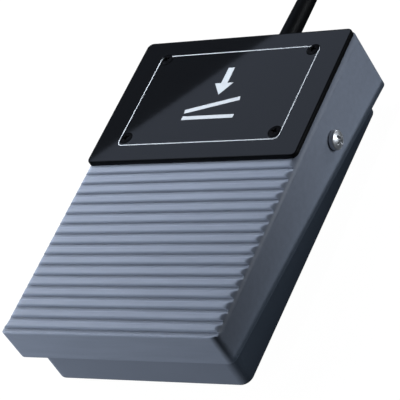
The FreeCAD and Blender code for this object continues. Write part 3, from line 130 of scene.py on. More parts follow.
class LabelSizes(bpy.types.PropertyGroup):
    """Sizes of the label plate, its line and its screws"""
    plate_thickness: length("Plate thickness", 0.0013, "Thickness of the plate")
    plate_margin: length("Plate margin", 0.0006, "Width of the matt band along the plate's cut edge")
    line_width: length("Line width", 0.0003, "Width of the thin printed line")
    line_half: length("Line half width", 0.0269, "Half of the width of the line's rectangle")
    line_front: length("Line front", 0.0645, "Front side of the line, from the cover's front edge")
    line_back: length("Line back", 0.0988, "Back side of the line, from the cover's front edge")
    line_corner: length("Line corner radius", 0.0017, "Radius of the line's corners")
    ink: length("Ink thickness", 0.00002, "Thickness of the printed line and pictogram")
    screw_span_across: length("Screw span across", 0.0496, "Distance between the screws across the plate")
    screw_span_along: length("Screw span along", 0.030, "Distance between the screws along the plate")
    screw_from_back: length("Screws from back", 0.0227, "Screws' middle from the cover's back")
    head_radius: length("Head radius", 0.00195, "Radius of the screws' heads")
    head_depth: length("Head depth", 0.0007, "Depth of the heads in the plate")
    head_dome: length("Head dome", 0.00035, "Height of the heads' domes over the plate")
    shank_radius: length("Shank radius", 0.001, "Radius of the screws' shanks")
    shank_length: length("Shank length", 0.005, "Length of the screws' shanks")
    cross_depth: length("Cross depth", 0.00062, "Depth of the cross in the heads")
    boss_radius: length("Boss radius", 0.0025, "Radius of the screws' bosses under the roof")
    boss_depth: length("Boss depth", 0.0018, "Depth of the bosses under the roof")


class CordSizes(bpy.types.PropertyGroup):
    """Sizes of the cord, its coil, its tie and its plug"""
    radius: length("Radius", 0.0024, "Radius of the cord")
    strap: length("Strap thickness", 0.0008, "Thickness of the tie's strap")
    tail: length("Plug tail", 0.007, "Length of the soft tail behind the plug's body")
    plug_corner: length("Plug corner", 0.0015, "Radius of the corners of the plug's body")
    plug_neck: length("Plug neck", 0.0026, "Radius of the soft tail where the cord enters")
    coil_side: FloatProperty(name="Coil side", description="Middle of the coil to the right", default=-0.002,
                             unit="LENGTH", subtype="DISTANCE")
    coil_back: length("Coil back", 0.224, "Middle of the coil behind the origin")
    coil_middle_radius: length("Coil radius", 0.0264, "Radius of the coil at the middle of its turns")
    coil_pitch: length("Coil pitch", 0.0054, "Distance from one turn to the next")
    coil_lift: length("Coil lift", 0.0008, "Height of the lowest turns over the ground")
    layer_half_turns: IntProperty(name="Half turns", description="Half turns per layer", default=4, min=1)
    layers: IntProperty(name="Layers", description="Layers of turns", default=4, min=1)
    real_length: length("Length", 1.7835, "From the strain relief to the plug")


class PedalColours(bpy.types.PropertyGroup):
    """Colours of the pedal's finishes"""
    cover: colour("Cover", (0.190, 0.214, 0.268), "Blue grey plastic of the cover")
    # The base is the same grey plastic as the cover; its colour is set darker than the cover's as painted shade,
    # standing in for the shade on the base's sides under the cover's skirt
    base: colour("Base", (0.146, 0.165, 0.207), "Blue grey plastic of the base")
    label: colour("Label", (0.0018, 0.0020, 0.0025), "Glossy black of the label plate")
    ink: colour("Ink", (0.48, 0.50, 0.53), "Pale ink of the line and the pictogram")
    dark_steel: colour("Dark steel", (0.009, 0.009, 0.010), "Blackened steel of the label's screws")
    bright_steel: colour("Bright steel", (0.60, 0.61, 0.63), "Nickel plated steel")
    cord: colour("Cord", (0.0022, 0.0024, 0.0028), "Black jacket of the cord")
    rubber: colour("Rubber", (0.018, 0.018, 0.019), "Black rubber of the feet and pads")
    tie: colour("Tie", (0.022, 0.022, 0.025), "Black woven strap")


class StudioSettings(bpy.types.PropertyGroup):
    """Camera and lights of the small studio"""
    camera_place: vector("Camera place", (0.32517, -0.30103, 0.34891), "Where the camera stands",
                         unit="LENGTH", subtype="TRANSLATION")
    camera_right: vector("Camera right", (0.81047, 0.37695, -0.44839), "The way to the right of the picture",
                         subtype="DIRECTION")
    camera_up: vector("Camera up", (0.0181, 0.74897, 0.66236), "The way to the top of the picture",
                      subtype="DIRECTION")
    lens: number("Lens", 184.53, "Focal length on the sensor", unit="CAMERA")
    sensor: number("Sensor", 36.0, "Width of the sensor", unit="CAMERA")
    light_tint: colour("Light tint", (0.90, 0.95, 1.0), "Cool tint of the lights")
    card_tint: colour("Card tint", (0.68, 0.78, 1.0), "Bluer tint of the cards that the label plate mirrors")
    sky: colour("Sky", (0.80, 0.90, 1.0), "Pale light from all round")
    sky_strength: number("Sky strength", 0.03, "Strength of the light from all round")
    floor_glow: number("Floor glow", 0.99, "Own light of the floor")


# Meshes out of arrays

def grid_quads(rows, columns, wrap_columns=False):
    """Corner numbers of a grid's quads, counted along each row. The last column may join the first."""
    across = columns if wrap_columns else columns - 1
    row, column = np.meshgrid(np.arange(rows - 1), np.arange(across), indexing="ij")
    after = (column + 1) % columns
    low, high = row * columns, (row + 1) * columns
    return np.stack([low + column, low + after, high + after, high + column], -1).reshape(-1, 4)


def fan(ring, middle):
    """Triangles from a closed ring of point numbers to one middle point."""
    return np.stack([ring, np.roll(ring, -1), np.full(len(ring), middle)], -1)


def skin(rings, ends, inside_out=False):
    """A closed surface: quads between rings of points, and triangles from the end rings to two points."""
    rings = np.asarray(rings, float)
    count, around = rings.shape[:2]
    points = np.concatenate([rings.reshape(-1, 3), ends])
    first = np.arange(around)
    faces = [grid_quads(count, around, wrap_columns=True), fan(first[::-1], len(points) - 2),
             fan(first + (count - 1) * around, len(points) - 1)]
    return points, [part[:, ::-1] for part in faces] if inside_out else faces


def build_mesh(name, points, faces):
    """A mesh of all points and of the quads and triangles in several arrays."""
    mesh = bpy.data.meshes.new(name)
    corners = [face for part in faces for face in np.asarray(part).tolist()]
    mesh.from_pydata(np.asarray(points, float).reshape(-1, 3).tolist(), [], corners)
    if mesh.validate():
        raise RuntimeError(f"the mesh of {name} had faces that are not sound")
    return mesh


def join_parts(parts):
    """One list of points and faces out of several, each with its own point numbers."""
    points, faces, start = [], [], 0
    for part_points, part_faces in parts:
        part_points = np.asarray(part_points, float).reshape(-1, 3)
        points.append(part_points)
        faces += [np.asarray(face) + start for face in part_faces]
        start += len(part_points)
    return np.concatenate(points), faces


def show(name, data):
    """A new object in the scene."""
    item = bpy.data.objects.new(name, data)
    bpy.context.scene.collection.objects.link(item)
    return item


def add_piece(name, shape, body, slot, replaces=(), material=None):
    """Show points and faces, or a mesh, as a piece that rides on a body and stands for its nodes."""
    mesh = build_mesh(name, *shape) if isinstance(shape, tuple) else shape
    piece = show(name, mesh)
    mesh.materials.append(material or finish_of(slot))
    mesh.shade_smooth()
    mesh.set_sharp_from_angle(angle=SHARP_ANGLE)
    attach(piece, body)
    if replaces:
        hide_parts(*replaces)
    return piece


def quarter(steps):
    """Angles of a quarter turn."""
    return np.linspace(0.0, math.pi / 2, steps + 1)


def circles(radii, heights, steps):
    """Rings of points round +Z, one for each radius and height."""
    angle = np.linspace(0.0, 2 * math.pi, steps, endpoint=False)
    heights = np.repeat(np.asarray(heights)[:, None], steps, axis=1)
    return np.stack([np.outer(radii, np.cos(angle)), np.outer(radii, np.sin(angle)), heights], -1)


def smooth_step(value, low, high):
    """Rises from 0 at low to 1 at high, level at both ends."""
    share = np.clip((value - low) / (high - low), 0.0, 1.0)
    return share * share * (3.0 - 2.0 * share)


def quarter_round(distance, radius):
    """How far a rounded edge lies below its face, at a distance from the edge's outer side."""
    reach = radius - np.minimum(distance, radius)
    return radius - np.sqrt(np.maximum(radius ** 2 - reach ** 2, 0.0))


def moved(shape, way):
    """A shape's points moved by a way."""
    return shape[0] + way, shape[1]


def on_cover(shape, sizes):
    """Turn a shape from the cover's own frame, from its front edge and pivot height, into the row frame.

    The frame is moved back to the pivot, tilted about the X axis and set on the pivot."""
    points, faces = moved(shape, [0.0, -sizes.pivot_from_front, 0.0])
    across, along, up = points.T
    cosine, sine = math.cos(sizes.rest_tilt), math.sin(sizes.rest_tilt)
    turned = np.column_stack([across, along * cosine - up * sine, along * sine + up * cosine])
    return turned + [0.0, *PIVOT[1:]], faces


def prism(outline, low, high):
    """A closed upright block over an outline of points."""
    outline = np.asarray(outline, float)
    rings = [np.column_stack([outline, np.full(len(outline), height)]) for height in (low, high)]
    middle = outline.mean(0)
    return skin(rings, [[*middle, low], [*middle, high]])


def corner_turns(steps):
    """Angles round four quarter circles, and the signs of their middles across and up."""
    turns = np.concatenate([quarter(steps) + corner * math.pi / 2 for corner in range(4)])
    return turns, np.repeat([1, -1, -1, 1], steps + 1), np.repeat([1, 1, -1, -1], steps + 1)


def rounded_outline(half_across, low, high, radius, steps=6):
    """A rectangle with round corners, run round to the left: quarter circles about four corner middles."""
    turns, side, end = corner_turns(steps)
    x = side * (half_across - radius) + radius * np.cos(turns)
    y = (low + high) / 2 + end * ((high - low) / 2 - radius) + radius * np.sin(turns)
    return np.column_stack([x, y])


def disc_outline(x, y, radius):
    """A circle about a middle point."""
    return circles([radius], [0.0], 32)[0, :, :2] + [x, y]


# Materials out of nodes

class NodeFinish:
    """A new material with one principled shader, and short ways to add what feeds it."""

    def __init__(self, name):
        self.material = bpy.data.materials.new(name)
        self.material.use_nodes = True
        self.nodes = self.material.node_tree.nodes
        self.links = self.material.node_tree.links
        self.shader = self.nodes["Principled BSDF"]
        self.place = self.add("TexCoord").outputs["Object"]
        self.relief = None

    def feed(self, socket, value):
        """Set a socket to a number or colour, or join it to another node's output."""
        if isinstance(value, bpy.types.NodeSocket):
            self.links.new(value, socket)
        else:
            socket.default_value = value

    def add(self, kind, **inputs):
        """A new node with its inputs fed."""
        node = self.nodes.new("ShaderNode" + kind)
        for name, value in inputs.items():
            self.feed(node.inputs[name.replace("_", " ").title()], value)
        return node

    def set(self, **values):
        """Feed inputs of the shader."""
        for name, value in values.items():
            self.feed(self.shader.inputs[name.replace("_", " ").title().replace("Ior", "IOR")], value)
        return self

    def mapped(self, scale=(1.0, 1.0, 1.0), turn=(0.0, 0.0, 0.0), source=None):
        return self.add("Mapping", vector=source or self.place, scale=scale, rotation=turn).outputs["Vector"]

    def noise(self, scale, detail=3.0, roughness=0.5, source=None):
        return self.add("TexNoise", vector=source or self.place, scale=scale, detail=detail,
                        roughness=roughness).outputs["Fac"]

    def sloped(self, value, low, high, new_low=0.0, new_high=1.0):
        """A value's range from low to high, laid onto a new one."""
        return self.add("MapRange", value=value, from_min=low, from_max=high, to_min=new_low,
                        to_max=new_high).outputs["Result"]

    def worked(self, operation, first, second=0.0):
        node = self.add("Math")
        node.operation = operation
        self.feed(node.inputs[0], first)
        self.feed(node.inputs[1], second)
        return node.outputs["Value"]

    def coloured(self, value, dark, light):
        """Two colours mixed by a value, to the base colour."""
        node = self.nodes.new("ShaderNodeMix")
        node.data_type = "RGBA"
        for name, source in (("A", (*dark, 1.0)), ("B", (*light, 1.0)), ("Factor", value)):
            self.feed(node.inputs[name], source)
        return self.set(base_color=node.outputs["Result"])

    def roughened(self, value, smooth, rough):
        return self.set(roughness=self.sloped(value, 0.25, 0.75, smooth, rough))

    def bumped(self, value, distance):
        """Relief on top of the relief that is already there."""
        node = self.add("Bump", height=value, distance=distance)
        if self.relief is not None:
            self.feed(node.inputs["Normal"], self.relief)
        self.relief = node.outputs["Normal"]
        return self.set(normal=self.relief)


def shaded(colour_value, share):
    """A colour made darker or lighter by a share."""
    return tuple(min(1.0, part * share) for part in colour_value)


def grained_plastic(name, base, smooth, rough, grain=2600.0, spread=0.07, shine=0.5, streak=1.0):
    """Moulded plastic with a fine spark-eroded grain and a slow drift of tone, drawn out across."""
    finish = NodeFinish(name).set(ior=1.5, specular_ior_level=shine)
    slow = finish.noise(55.0, detail=4.0, roughness=0.6, source=finish.mapped(scale=(1.0, streak, streak)))
    finish.coloured(slow, shaded(base, 1.0 - spread), shaded(base, 1.0 + spread))
    fine = finish.noise(grain, detail=2.0)
    finish.roughened(finish.worked("MULTIPLY", finish.worked("ADD", slow, fine), 0.5), smooth, rough)
    finish.bumped(fine, 0.012 * MM)
    cells = finish.add("TexVoronoi", vector=finish.place, scale=grain * 0.55).outputs["Distance"]
    finish.bumped(cells, 0.0072 * MM)
    return finish.material


def speckled(name, base, cloud, tones, sheen, grain, **shader):
    """A finish whose tone and roughness drift with a cloud of noise, under a fine relief.

    The cloud is a scale, a detail and a roughness, and the grain is a scale, a detail and a height in mm."""
    finish = NodeFinish(name).set(**shader)
    drift = finish.noise(*cloud)
    finish.coloured(drift, *(shaded(base, tone) for tone in tones)).roughened(drift, *sheen)
    scale, detail, height = grain
    finish.bumped(finish.noise(scale, detail), height * MM)
    return finish.material


def plated_steel(name, base, smooth, rough, metallic=1.0):
    """Plated steel with slightly duller clouds."""
    return speckled(name, base, (900.0, 4.0, 0.65), (0.86, 1.0), (smooth, rough), (6000.0, 2.0, 0.003),
                    metallic=metallic)


def soft_rubber(name, base, smooth=0.42, rough=0.62, shine=0.5):
    """Moulded rubber with a matt skin and faint flow marks."""
    return speckled(name, base, (120.0, 5.0, 0.6), (0.8, 1.25), (smooth, rough), (1800.0, 3.0, 0.014),
                    ior=1.5, specular_ior_level=shine)


def glossy_plate(name, base, margin):
    """Polished black plate with hair scratches and a little dust. Its cut edge is matt: a point is past the
    polish by the larger of its distances past the two margins."""
    finish = NodeFinish(name).set(ior=1.49)
    dust = finish.noise(420.0, detail=6.0, roughness=0.7)
    finish.coloured(finish.sloped(dust, 0.62, 0.85), base, shaded(base, 1.7))
    hairs = finish.mapped(scale=(1.0, 26.0, 1.0), turn=(0.0, 0.0, 0.5))
    scratches = finish.noise(70.0, detail=2.0, source=hairs)
    low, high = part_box("label_plate")
    axes = finish.add("SeparateXYZ", vector=finish.place).outputs
    past = []
    for axis, start, end in zip((axes["X"], axes["Y"]), low, high):
        from_middle = finish.worked("ABSOLUTE", finish.worked("SUBTRACT", axis, (start + end) / 2))
        past.append(finish.worked("SUBTRACT", from_middle, (end - start) / 2 - margin))
    cut_edge = finish.sloped(finish.worked("MAXIMUM", *past), 0.0, margin / 2)
    polish = finish.sloped(scratches, 0.25, 0.75, 0.02, 0.035)
    finish.set(roughness=finish.worked("ADD", polish, finish.worked("MULTIPLY", cut_edge, 0.5)),
               specular_ior_level=finish.sloped(cut_edge, 0.0, 1.0, 0.5, 0.08))
    finish.bumped(scratches, 0.0002 * MM)
    return finish.material


def printed_ink(name, base):
    """Screen printed pale ink with a faint grain."""
    return speckled(name, base, (5200.0, 3.0, 0.5), (0.86, 1.0), (0.32, 0.5), (5200.0, 3.0, 0.004), ior=1.5)


def woven_strap(name, base):
    """Woven strap: threads along and across it by its own surface map, with a soft sheen."""
    finish = NodeFinish(name).set(ior=1.5, sheen_weight=0.35, sheen_roughness=0.5)
    surface = finish.nodes["Texture Coordinate"].outputs["UV"]
    threads = []
    for direction, scale in (("X", (46.0, 1.0, 1.0)), ("Y", (1.0, 6.0, 1.0))):
        wave = finish.add("TexWave", vector=finish.mapped(scale=scale, source=surface), scale=1.0)
        wave.bands_direction = direction
        threads.append(wave.outputs["Fac"])
    weave = finish.worked("MULTIPLY", *threads)
    finish.coloured(weave, shaded(base, 0.55), shaded(base, 1.7)).roughened(weave, 0.7, 0.92)
    finish.bumped(weave, 0.12 * MM)
    return finish.material


def board_laminate(name, base):
    """Circuit board: green lacquer over fine copper tracks that run square to each other."""
    finish = NodeFinish(name).set(ior=1.52, coat_weight=0.4, coat_roughness=0.15)
    tracks = finish.add("TexBrick", vector=finish.place, scale=120.0, mortar_size=0.06,
                        color1=(*shaded(base, 0.9), 1.0), color2=(*base, 1.0),
                        mortar=(*shaded(base, 1.9), 1.0))
    finish.set(base_color=tracks.outputs["Color"]).roughened(finish.noise(300.0), 0.25, 0.4)
    finish.bumped(tracks.outputs["Fac"], 0.03 * MM)
    return finish.material


WIRES = {"red": (0.45, 0.012, 0.012), "white": (0.7, 0.7, 0.68), "green": (0.015, 0.22, 0.045),
         "black": (0.012, 0.012, 0.013)}


def finishes(colours, margin):
    """Every finish of the object by the record's slot, with the matt margin of the label plate."""
    return {
        # The base's colour is darker than the cover's same plastic: painted shade
        "base_plastic": grained_plastic("base grey plastic", colours.base, 0.48, 0.60, shine=0.3),
        "cover_plastic": grained_plastic("cover grey plastic", colours.cover, 0.46, 0.58, shine=0.32,
                                         spread=0.14, streak=10.0),
        "label_black": glossy_plate("label gloss black", colours.label, margin),
        "black_steel": plated_steel("blackened steel", colours.dark_steel, 0.28, 0.42, metallic=0.8),
        "bright_steel": plated_steel("nickel plated steel", colours.bright_steel, 0.36, 0.5, metallic=0.9),
        "brass": plated_steel("knurled brass", (0.72, 0.50, 0.20), 0.22, 0.4),
        "spring_steel": plated_steel("drawn spring steel", (0.48, 0.49, 0.52), 0.2, 0.36),
        "black_rubber": soft_rubber("foot rubber", colours.rubber),
        "board_green": board_laminate("board laminate", (0.012, 0.10, 0.045)),
        "switch_black": grained_plastic("switch black plastic", (0.012, 0.012, 0.014), 0.3, 0.45),
        "switch_red": grained_plastic("plunger red plastic", (0.42, 0.02, 0.016), 0.3, 0.42),
        "tinned_metal": plated_steel("tinned leads", (0.66, 0.66, 0.64), 0.24, 0.42),
        "chip_black": grained_plastic("chip moulding", (0.016, 0.016, 0.017), 0.45, 0.6, grain=5200.0),
        "capacitor_tan": grained_plastic("capacitor ceramic", (0.36, 0.22, 0.11), 0.35, 0.5, grain=5200.0),
        "connector_white": grained_plastic("connector white", (0.74, 0.72, 0.66), 0.34, 0.5),
        **{f"wire_{name}": soft_rubber(f"{name} insulation", tint, 0.3, 0.42)
           for name, tint in WIRES.items()},
        "cord_black": soft_rubber("cord jacket", colours.cord, 0.42, 0.54, shine=0.14),
        "tie_black": woven_strap("woven tie", colours.tie),
        "contact_gold": plated_steel("gilt contacts", (0.80, 0.56, 0.22), 0.18, 0.3),
    }


FINISHES = {}


def finish_of(slot):
    """The finish of one slot, made at the first call."""
    if not FINISHES:
        scene = bpy.context.scene
        FINISHES.update(finishes(scene.pedal_colours, scene.pedal_label.plate_margin))
    return FINISHES[slot]


# Shapes of this object's own pieces

def cover_rows(sizes):
    """Places along the cover and the groove's depth at each, from the front edge to the back.

    From front to back, the rib's back falls by a quarter of an ellipse to the floor. Behind the floor
    a small quarter circle and a slightly leaning wall rise to the quarter circle of the next rib's edge."""
    depth, rim, foot, lean = sizes.groove_depth, sizes.rib_edge, 0.12 * MM, 0.06 * MM
    floor_front, floor_back = -sizes.groove_floor / 3, 2 * sizes.groove_floor / 3
    wide, small, turn = quarter(9), quarter(5), quarter(8)
    along = np.concatenate([
        floor_front - sizes.rib_back * (1.0 - np.sin(wide)),
        floor_back + foot * np.sin(small),
        floor_back + foot + lean + rim * (1.0 - np.cos(small)),
    ])
    depths = np.concatenate([
        depth * (1.0 - np.cos(wide)),
        depth - foot * (1.0 - np.cos(small)),
        rim * (1.0 - np.sin(small)),
    ])
    middles = sizes.groove_first + sizes.groove_pitch * np.arange(sizes.groove_count)
    grooved = (middles[:, None] + along[None, :]).ravel()
    corner = sizes.corner_radius * (1.0 - np.cos(turn))
    edge = sizes.front_edge * (1.0 - np.cos(turn))
    past_grooves, before_back, spacing = 4 * MM, 3 * MM, 5 * MM
    plain = np.arange(grooved[-1] + past_grooves, sizes.cover_length - before_back, spacing)
    extra = np.concatenate([corner, edge, sizes.cover_length - corner, sizes.cover_length - edge, plain])
    rows = np.unique(np.round(np.maximum(np.concatenate([grooved, extra]), 0.0), 8))
    rows = rows[np.concatenate([[True], np.diff(rows) > 2e-6])]
    rows[-1] = sizes.cover_length
    return rows, np.interp(rows, grooved, np.tile(depths, sizes.groove_count))


def cover_columns(sizes):
    """Places across the cover as shares of its half width, close together at its edges and at the notch."""
    half = sizes.cover_width / 2
    end = half - sizes.corner_radius
    rounded = 1.0 - sizes.side_edge * (1.0 - np.sin(quarter(9))) / half
    inner = np.linspace(sizes.notch_radius + 2 * MM, half - 3 * MM, 8) / half
    notch = sizes.notch_radius * np.sin(quarter(8)) / end
    beyond = [(sizes.notch_radius + 0.01 * MM) / end]
    shares = np.unique(np.round(np.concatenate([rounded, inner, notch, beyond]), 9))
    shares = shares[shares > 1e-6]
    return np.concatenate([-shares[::-1], [0.0], shares])


def tread_cover_surface(sizes):
    """The cover as one closed shell.

    Its top is a grid of rows along the cover and columns across it. The half width of a row narrows by a
    quarter circle at the corners. A point lies below the tread by whichever is more: the groove's depth,
    or the quarter round of its distance to the outline. The outline's points run down to the skirt's
    slanted rim, in by the wall, up to the roof, and a second grid closes the roof's underside."""
    rows, groove = cover_rows(sizes)
    columns = cover_columns(sizes)
    half, radius = sizes.cover_width / 2, sizes.corner_radius
    from_end = np.minimum(rows, sizes.cover_length - rows)
    short = np.maximum(radius - from_end, 0.0)
    widths = half - radius + np.sqrt(np.maximum(radius ** 2 - short ** 2, 0.0))
    x = columns[None, :] * widths[:, None]
    y = np.repeat(rows[:, None], len(columns), axis=1)
    core_x, core_y = np.maximum(np.abs(x) - (half - radius), 0.0), short[:, None]
    corner_distance = radius - np.hypot(core_x, core_y)
    flat_distance = np.minimum(half - np.abs(x), from_end[:, None])
    distance = np.maximum(np.where((core_x > 0) & (core_y > 0), corner_distance, flat_distance), 0.0)
    distance[[0, -1]] = 0.0
    distance[:, [0, -1]] = 0.0
    blend = 4 * MM
    edge = sizes.front_edge + (sizes.side_edge - sizes.front_edge) * smooth_step(from_end, 0.0, blend)
    drop = np.maximum(quarter_round(distance, edge[:, None]), groove[:, None])
    top = np.stack([x, y, sizes.tread_above_pivot - drop], -1)

    row_count, column_count = x.shape
    index = np.arange(row_count * column_count).reshape(row_count, column_count)
    loop = np.concatenate([index[0, :-1], index[:-1, -1], index[-1, :0:-1], index[:0:-1, 0]])
    across, along, edge_height = top.reshape(-1, 3)[loop].T
    ways = np.stack([
        np.sign(across) * np.maximum(np.abs(across) - (half - radius), 0.0),
        np.maximum(along - (sizes.cover_length - radius), 0.0) - np.maximum(radius - along, 0.0),
    ], -1)
    ways /= np.linalg.norm(ways, axis=1, keepdims=True)

    slope = (sizes.rear_skirt - sizes.front_skirt) / sizes.cover_length
    rim = sizes.tread_above_pivot - sizes.front_skirt - slope * along
    arch = np.sqrt(np.maximum(sizes.notch_radius ** 2 - across ** 2, 0.0)) + sizes.notch_height - PIVOT[2]
    in_notch = (along > sizes.cover_length - 1e-6) & (np.abs(across) <= sizes.notch_radius + 1e-6)
    rim = np.where(in_notch, arch, rim)

    def inset(amount):
        """The outline moved in by an amount, the corner's radius shrinking to a small one."""
        small = max(radius - amount, 0.3 * MM)
        pull = amount + small
        core = np.stack([
            np.clip(across, radius - half, half - radius) * (half - pull) / (half - radius),
            pull + (np.clip(along, radius, sizes.cover_length - radius) - radius)
            * (sizes.cover_length - 2 * pull) / (sizes.cover_length - 2 * radius),
        ], -1)
        return core + ways * small

    # Extra rings near the top and near the rim keep the skirts' shading even
    bevel = 0.25 * MM
    inner = inset(sizes.wall)
    roof = sizes.tread_above_pivot - sizes.roof
    fall = rim + bevel - edge_height
    levels = [(across, along, edge_height + share * fall) for share in (0.03, 0.35, 0.7, 0.97, 1.0)]
    levels += [(inset(0.3 * bevel), rim + 0.3 * bevel), (inset(bevel), rim), (inner, rim),
               (inner, (rim + roof) / 2)]

    inner_edge = inner[np.arange(column_count - 1, column_count + row_count - 1)]
    under = np.stack([columns[None, :] * inner_edge[:, :1],
                      np.repeat(inner_edge[:, 1:], column_count, axis=1),
                      np.full(x.shape, roof)], -1)

    points = np.concatenate([top.reshape(-1, 3), *map(np.column_stack, levels), under.reshape(-1, 3)])
    start, under_start = index.size, len(points) - index.size
    rings = [loop, *np.arange(start, under_start).reshape(-1, len(loop)), under_start + loop]
    faces = [grid_quads(row_count, column_count), grid_quads(row_count, column_count)[:, ::-1] + under_start]
    for upper, lower in zip(rings, rings[1:]):
        faces.append(np.stack([upper, lower, np.roll(lower, -1), np.roll(upper, -1)], -1))
    return points, faces


def cover_inside_parts(sizes, label):
    """Stiffeners, screw bosses, spring pegs and the blade that presses the switch, all under the roof.

    Each is a closed block that stands a little into the roof. The blade's lower edge is a half circle."""
    roof = sizes.tread_above_pivot - sizes.roof
    sunk = roof + 0.3 * MM
    bar = rounded_outline(sizes.stiffener_width / 2, sizes.stiffener_front, sizes.stiffener_back, 0.3 * MM)
    parts = []
    for side in (1, -1):
        parts.append(prism(bar + [side * sizes.stiffener_side, 0.0], roof - sizes.stiffener_depth, sunk))
        peg = disc_outline(side * sizes.spring_side, sizes.spring_from_front, sizes.peg_radius)
        parts.append(prism(peg, roof - sizes.peg_length, sunk))
    for x, y in label_screw_places(sizes, label):
        parts.append(prism(disc_outline(x, y, label.boss_radius), roof - label.boss_depth, sunk))
    radius = sizes.blade_radius
    turn = np.linspace(math.pi, 2 * math.pi, 13)
    tip = roof - sizes.blade_reach + radius
    side_view = np.column_stack([radius * np.cos(turn), tip + radius * np.sin(turn)])
    points, faces = prism([*side_view, [radius, sunk], [-radius, sunk]], -sizes.blade_width / 2,
                          sizes.blade_width / 2)
    return [*parts, (points[:, [2, 0, 1]] + [0.0, sizes.blade_from_front, 0.0], faces)]


def label_screw_places(sizes, label):
    """The middles of the four small screws, left and right in front and then behind."""
    half_across, half_along = label.screw_span_across / 2, label.screw_span_along / 2
    middle = sizes.cover_length - label.screw_from_back
    return [(side * half_across, middle + end * half_along) for end in (-1, 1) for side in (-1, 1)]


def cross_head_screw(head_radius, rim, dome, shank_radius, shank_length, recess_depth):
    """A screw along +Z whose head stands on the plane z = 0, as one closed surface of circles.

    The head's top is a parabola that falls from the middle to its rounded rim. A cross of two tapered
    slots is pressed into it: the depth falls off smoothly with the distance to the nearer slot's edge."""
    steps = 96
    edge = 0.14 * head_radius
    arm, width = 0.56 * head_radius, 0.17 * head_radius
    radii = np.concatenate([np.linspace(0.03, 0.80, 26), [0.84, 0.88]]) * head_radius
    round_radii = head_radius - edge * (1.0 - np.sin(quarter(5)))

    def domed(radius):
        return rim + dome * (1.0 - (radius / head_radius) ** 2)

    def slot_depth(along, across):
        taper = width * (1.0 - 0.45 * np.abs(along) / arm)
        side = smooth_step(taper - np.abs(across), -0.25 * width, 0.45 * width)
        return side * smooth_step(arm - np.abs(along), -0.1 * arm, 0.35 * arm)

    top = circles(radii, domed(radii), steps)
    x, y = top[..., 0], top[..., 1]
    top[..., 2] -= recess_depth * np.maximum(slot_depth(x, y), slot_depth(y, x))
    round_heights = domed(round_radii[0]) - edge * (1.0 - np.cos(quarter(5)))
    lower = [*zip(round_radii[1:], round_heights[1:]), (head_radius, 0.04 * rim), (0.985 * head_radius, 0.0),
             (shank_radius, 0.0), (shank_radius, -0.94 * shank_length), (0.75 * shank_radius, -shank_length)]
    rings = np.concatenate([top, circles(*np.transpose(lower), steps)])
    return skin(rings, [[0, 0, top[0, :, 2].min()], [0, 0, -shank_length]], inside_out=True)


def lathe(profile, steps):
    """A closed surface of circles about +Z, through radii and heights from the top to the bottom."""
    radii, heights = np.transpose(profile)
    return skin(circles(radii, heights, steps), [[0, 0, heights[0]], [0, 0, heights[-1]]], inside_out=True)


def ring_line(half_across, low, high, radius, width, height):
    """A thin flat line round a rounded rectangle: its outer and inner outlines, lifted by the ink."""
    outer, inner = (rounded_outline(half_across - by, low + by, high - by, radius - by, steps=10)
                    for by in (0.0, width))
    count = len(outer)
    rings = [(outer, 0.0), (outer, height), (inner, height), (inner, 0.0)]
    points = np.concatenate([np.column_stack([ring, np.full(count, level)]) for ring, level in rings])
    return points, [grid_quads(5, count, wrap_columns=True) % len(points)]


def coil_points(sizes, per_turn=16):
    """Control points of the coil: a spiral in and out again, one layer on the other.

    The radius changes by one pitch for each turn. It reverses in the half turn of each climb, where the
    height rises by a half wave. Points stand out a little, because the smooth line runs inside them."""
    step = 2 * math.pi / per_turn
    spiral, climb = sizes.layer_half_turns * math.pi, math.pi
    last = sizes.layers * spiral + (sizes.layers - 1) * climb
    angle = np.linspace(0.0, last, int(round(last / step)) + 1)
    rate = sizes.coil_pitch / (2 * math.pi)
    outer = sizes.coil_middle_radius + rate * spiral / 2
    layer = np.clip(angle // (spiral + climb), 0, sizes.layers - 1)
    rest = angle - layer * (spiral + climb)
    inward = np.where(layer % 2 == 0, 1.0, -1.0)
    start = np.where(layer % 2 == 0, outer, outer - rate * spiral)
    over = np.maximum(rest - spiral, 0.0)
    radius = start - inward * rate * (np.minimum(rest, spiral) + over - over ** 2 / climb)
    height = sizes.coil_lift + sizes.radius + layer * sizes.coil_pitch
    height = height + sizes.coil_pitch * (1.0 - np.cos(over)) / 2
    radius = radius / math.cos(step / 2)
    x, y = sizes.coil_side + radius * np.cos(angle), sizes.coil_back + radius * np.sin(angle)
    return np.column_stack([x, y, height])


def cord_route(sizes):
    """Control points of the whole free cord: to the ground, along it, through the coil and to the plug."""
    lead = np.array([
        CORD_EXIT, (0.0, 0.104, 0.0131), (0.0025, 0.1225, 0.0090), (0.0095, 0.1405, 0.0038),
        (0.019, 0.1585, 0.0025), (0.0275, 0.178, 0.0025),
    ])
    coil = coil_points(sizes)
    into = coil[0] - np.array([0.0, 0.018 + 2 * sizes.radius, 0.0])
    away = coil[-1] - np.array([0.0, 0.012 + 2 * sizes.radius, 0.0])
    plug = np.array([
        (-0.0326, 0.194, 0.0135), (-0.0282, 0.1795, 0.0065), (-0.025, 0.1632, 0.004),
        (-0.025, 0.1482, 0.004),
    ])
    return np.concatenate([lead, [into], coil, [away], plug])


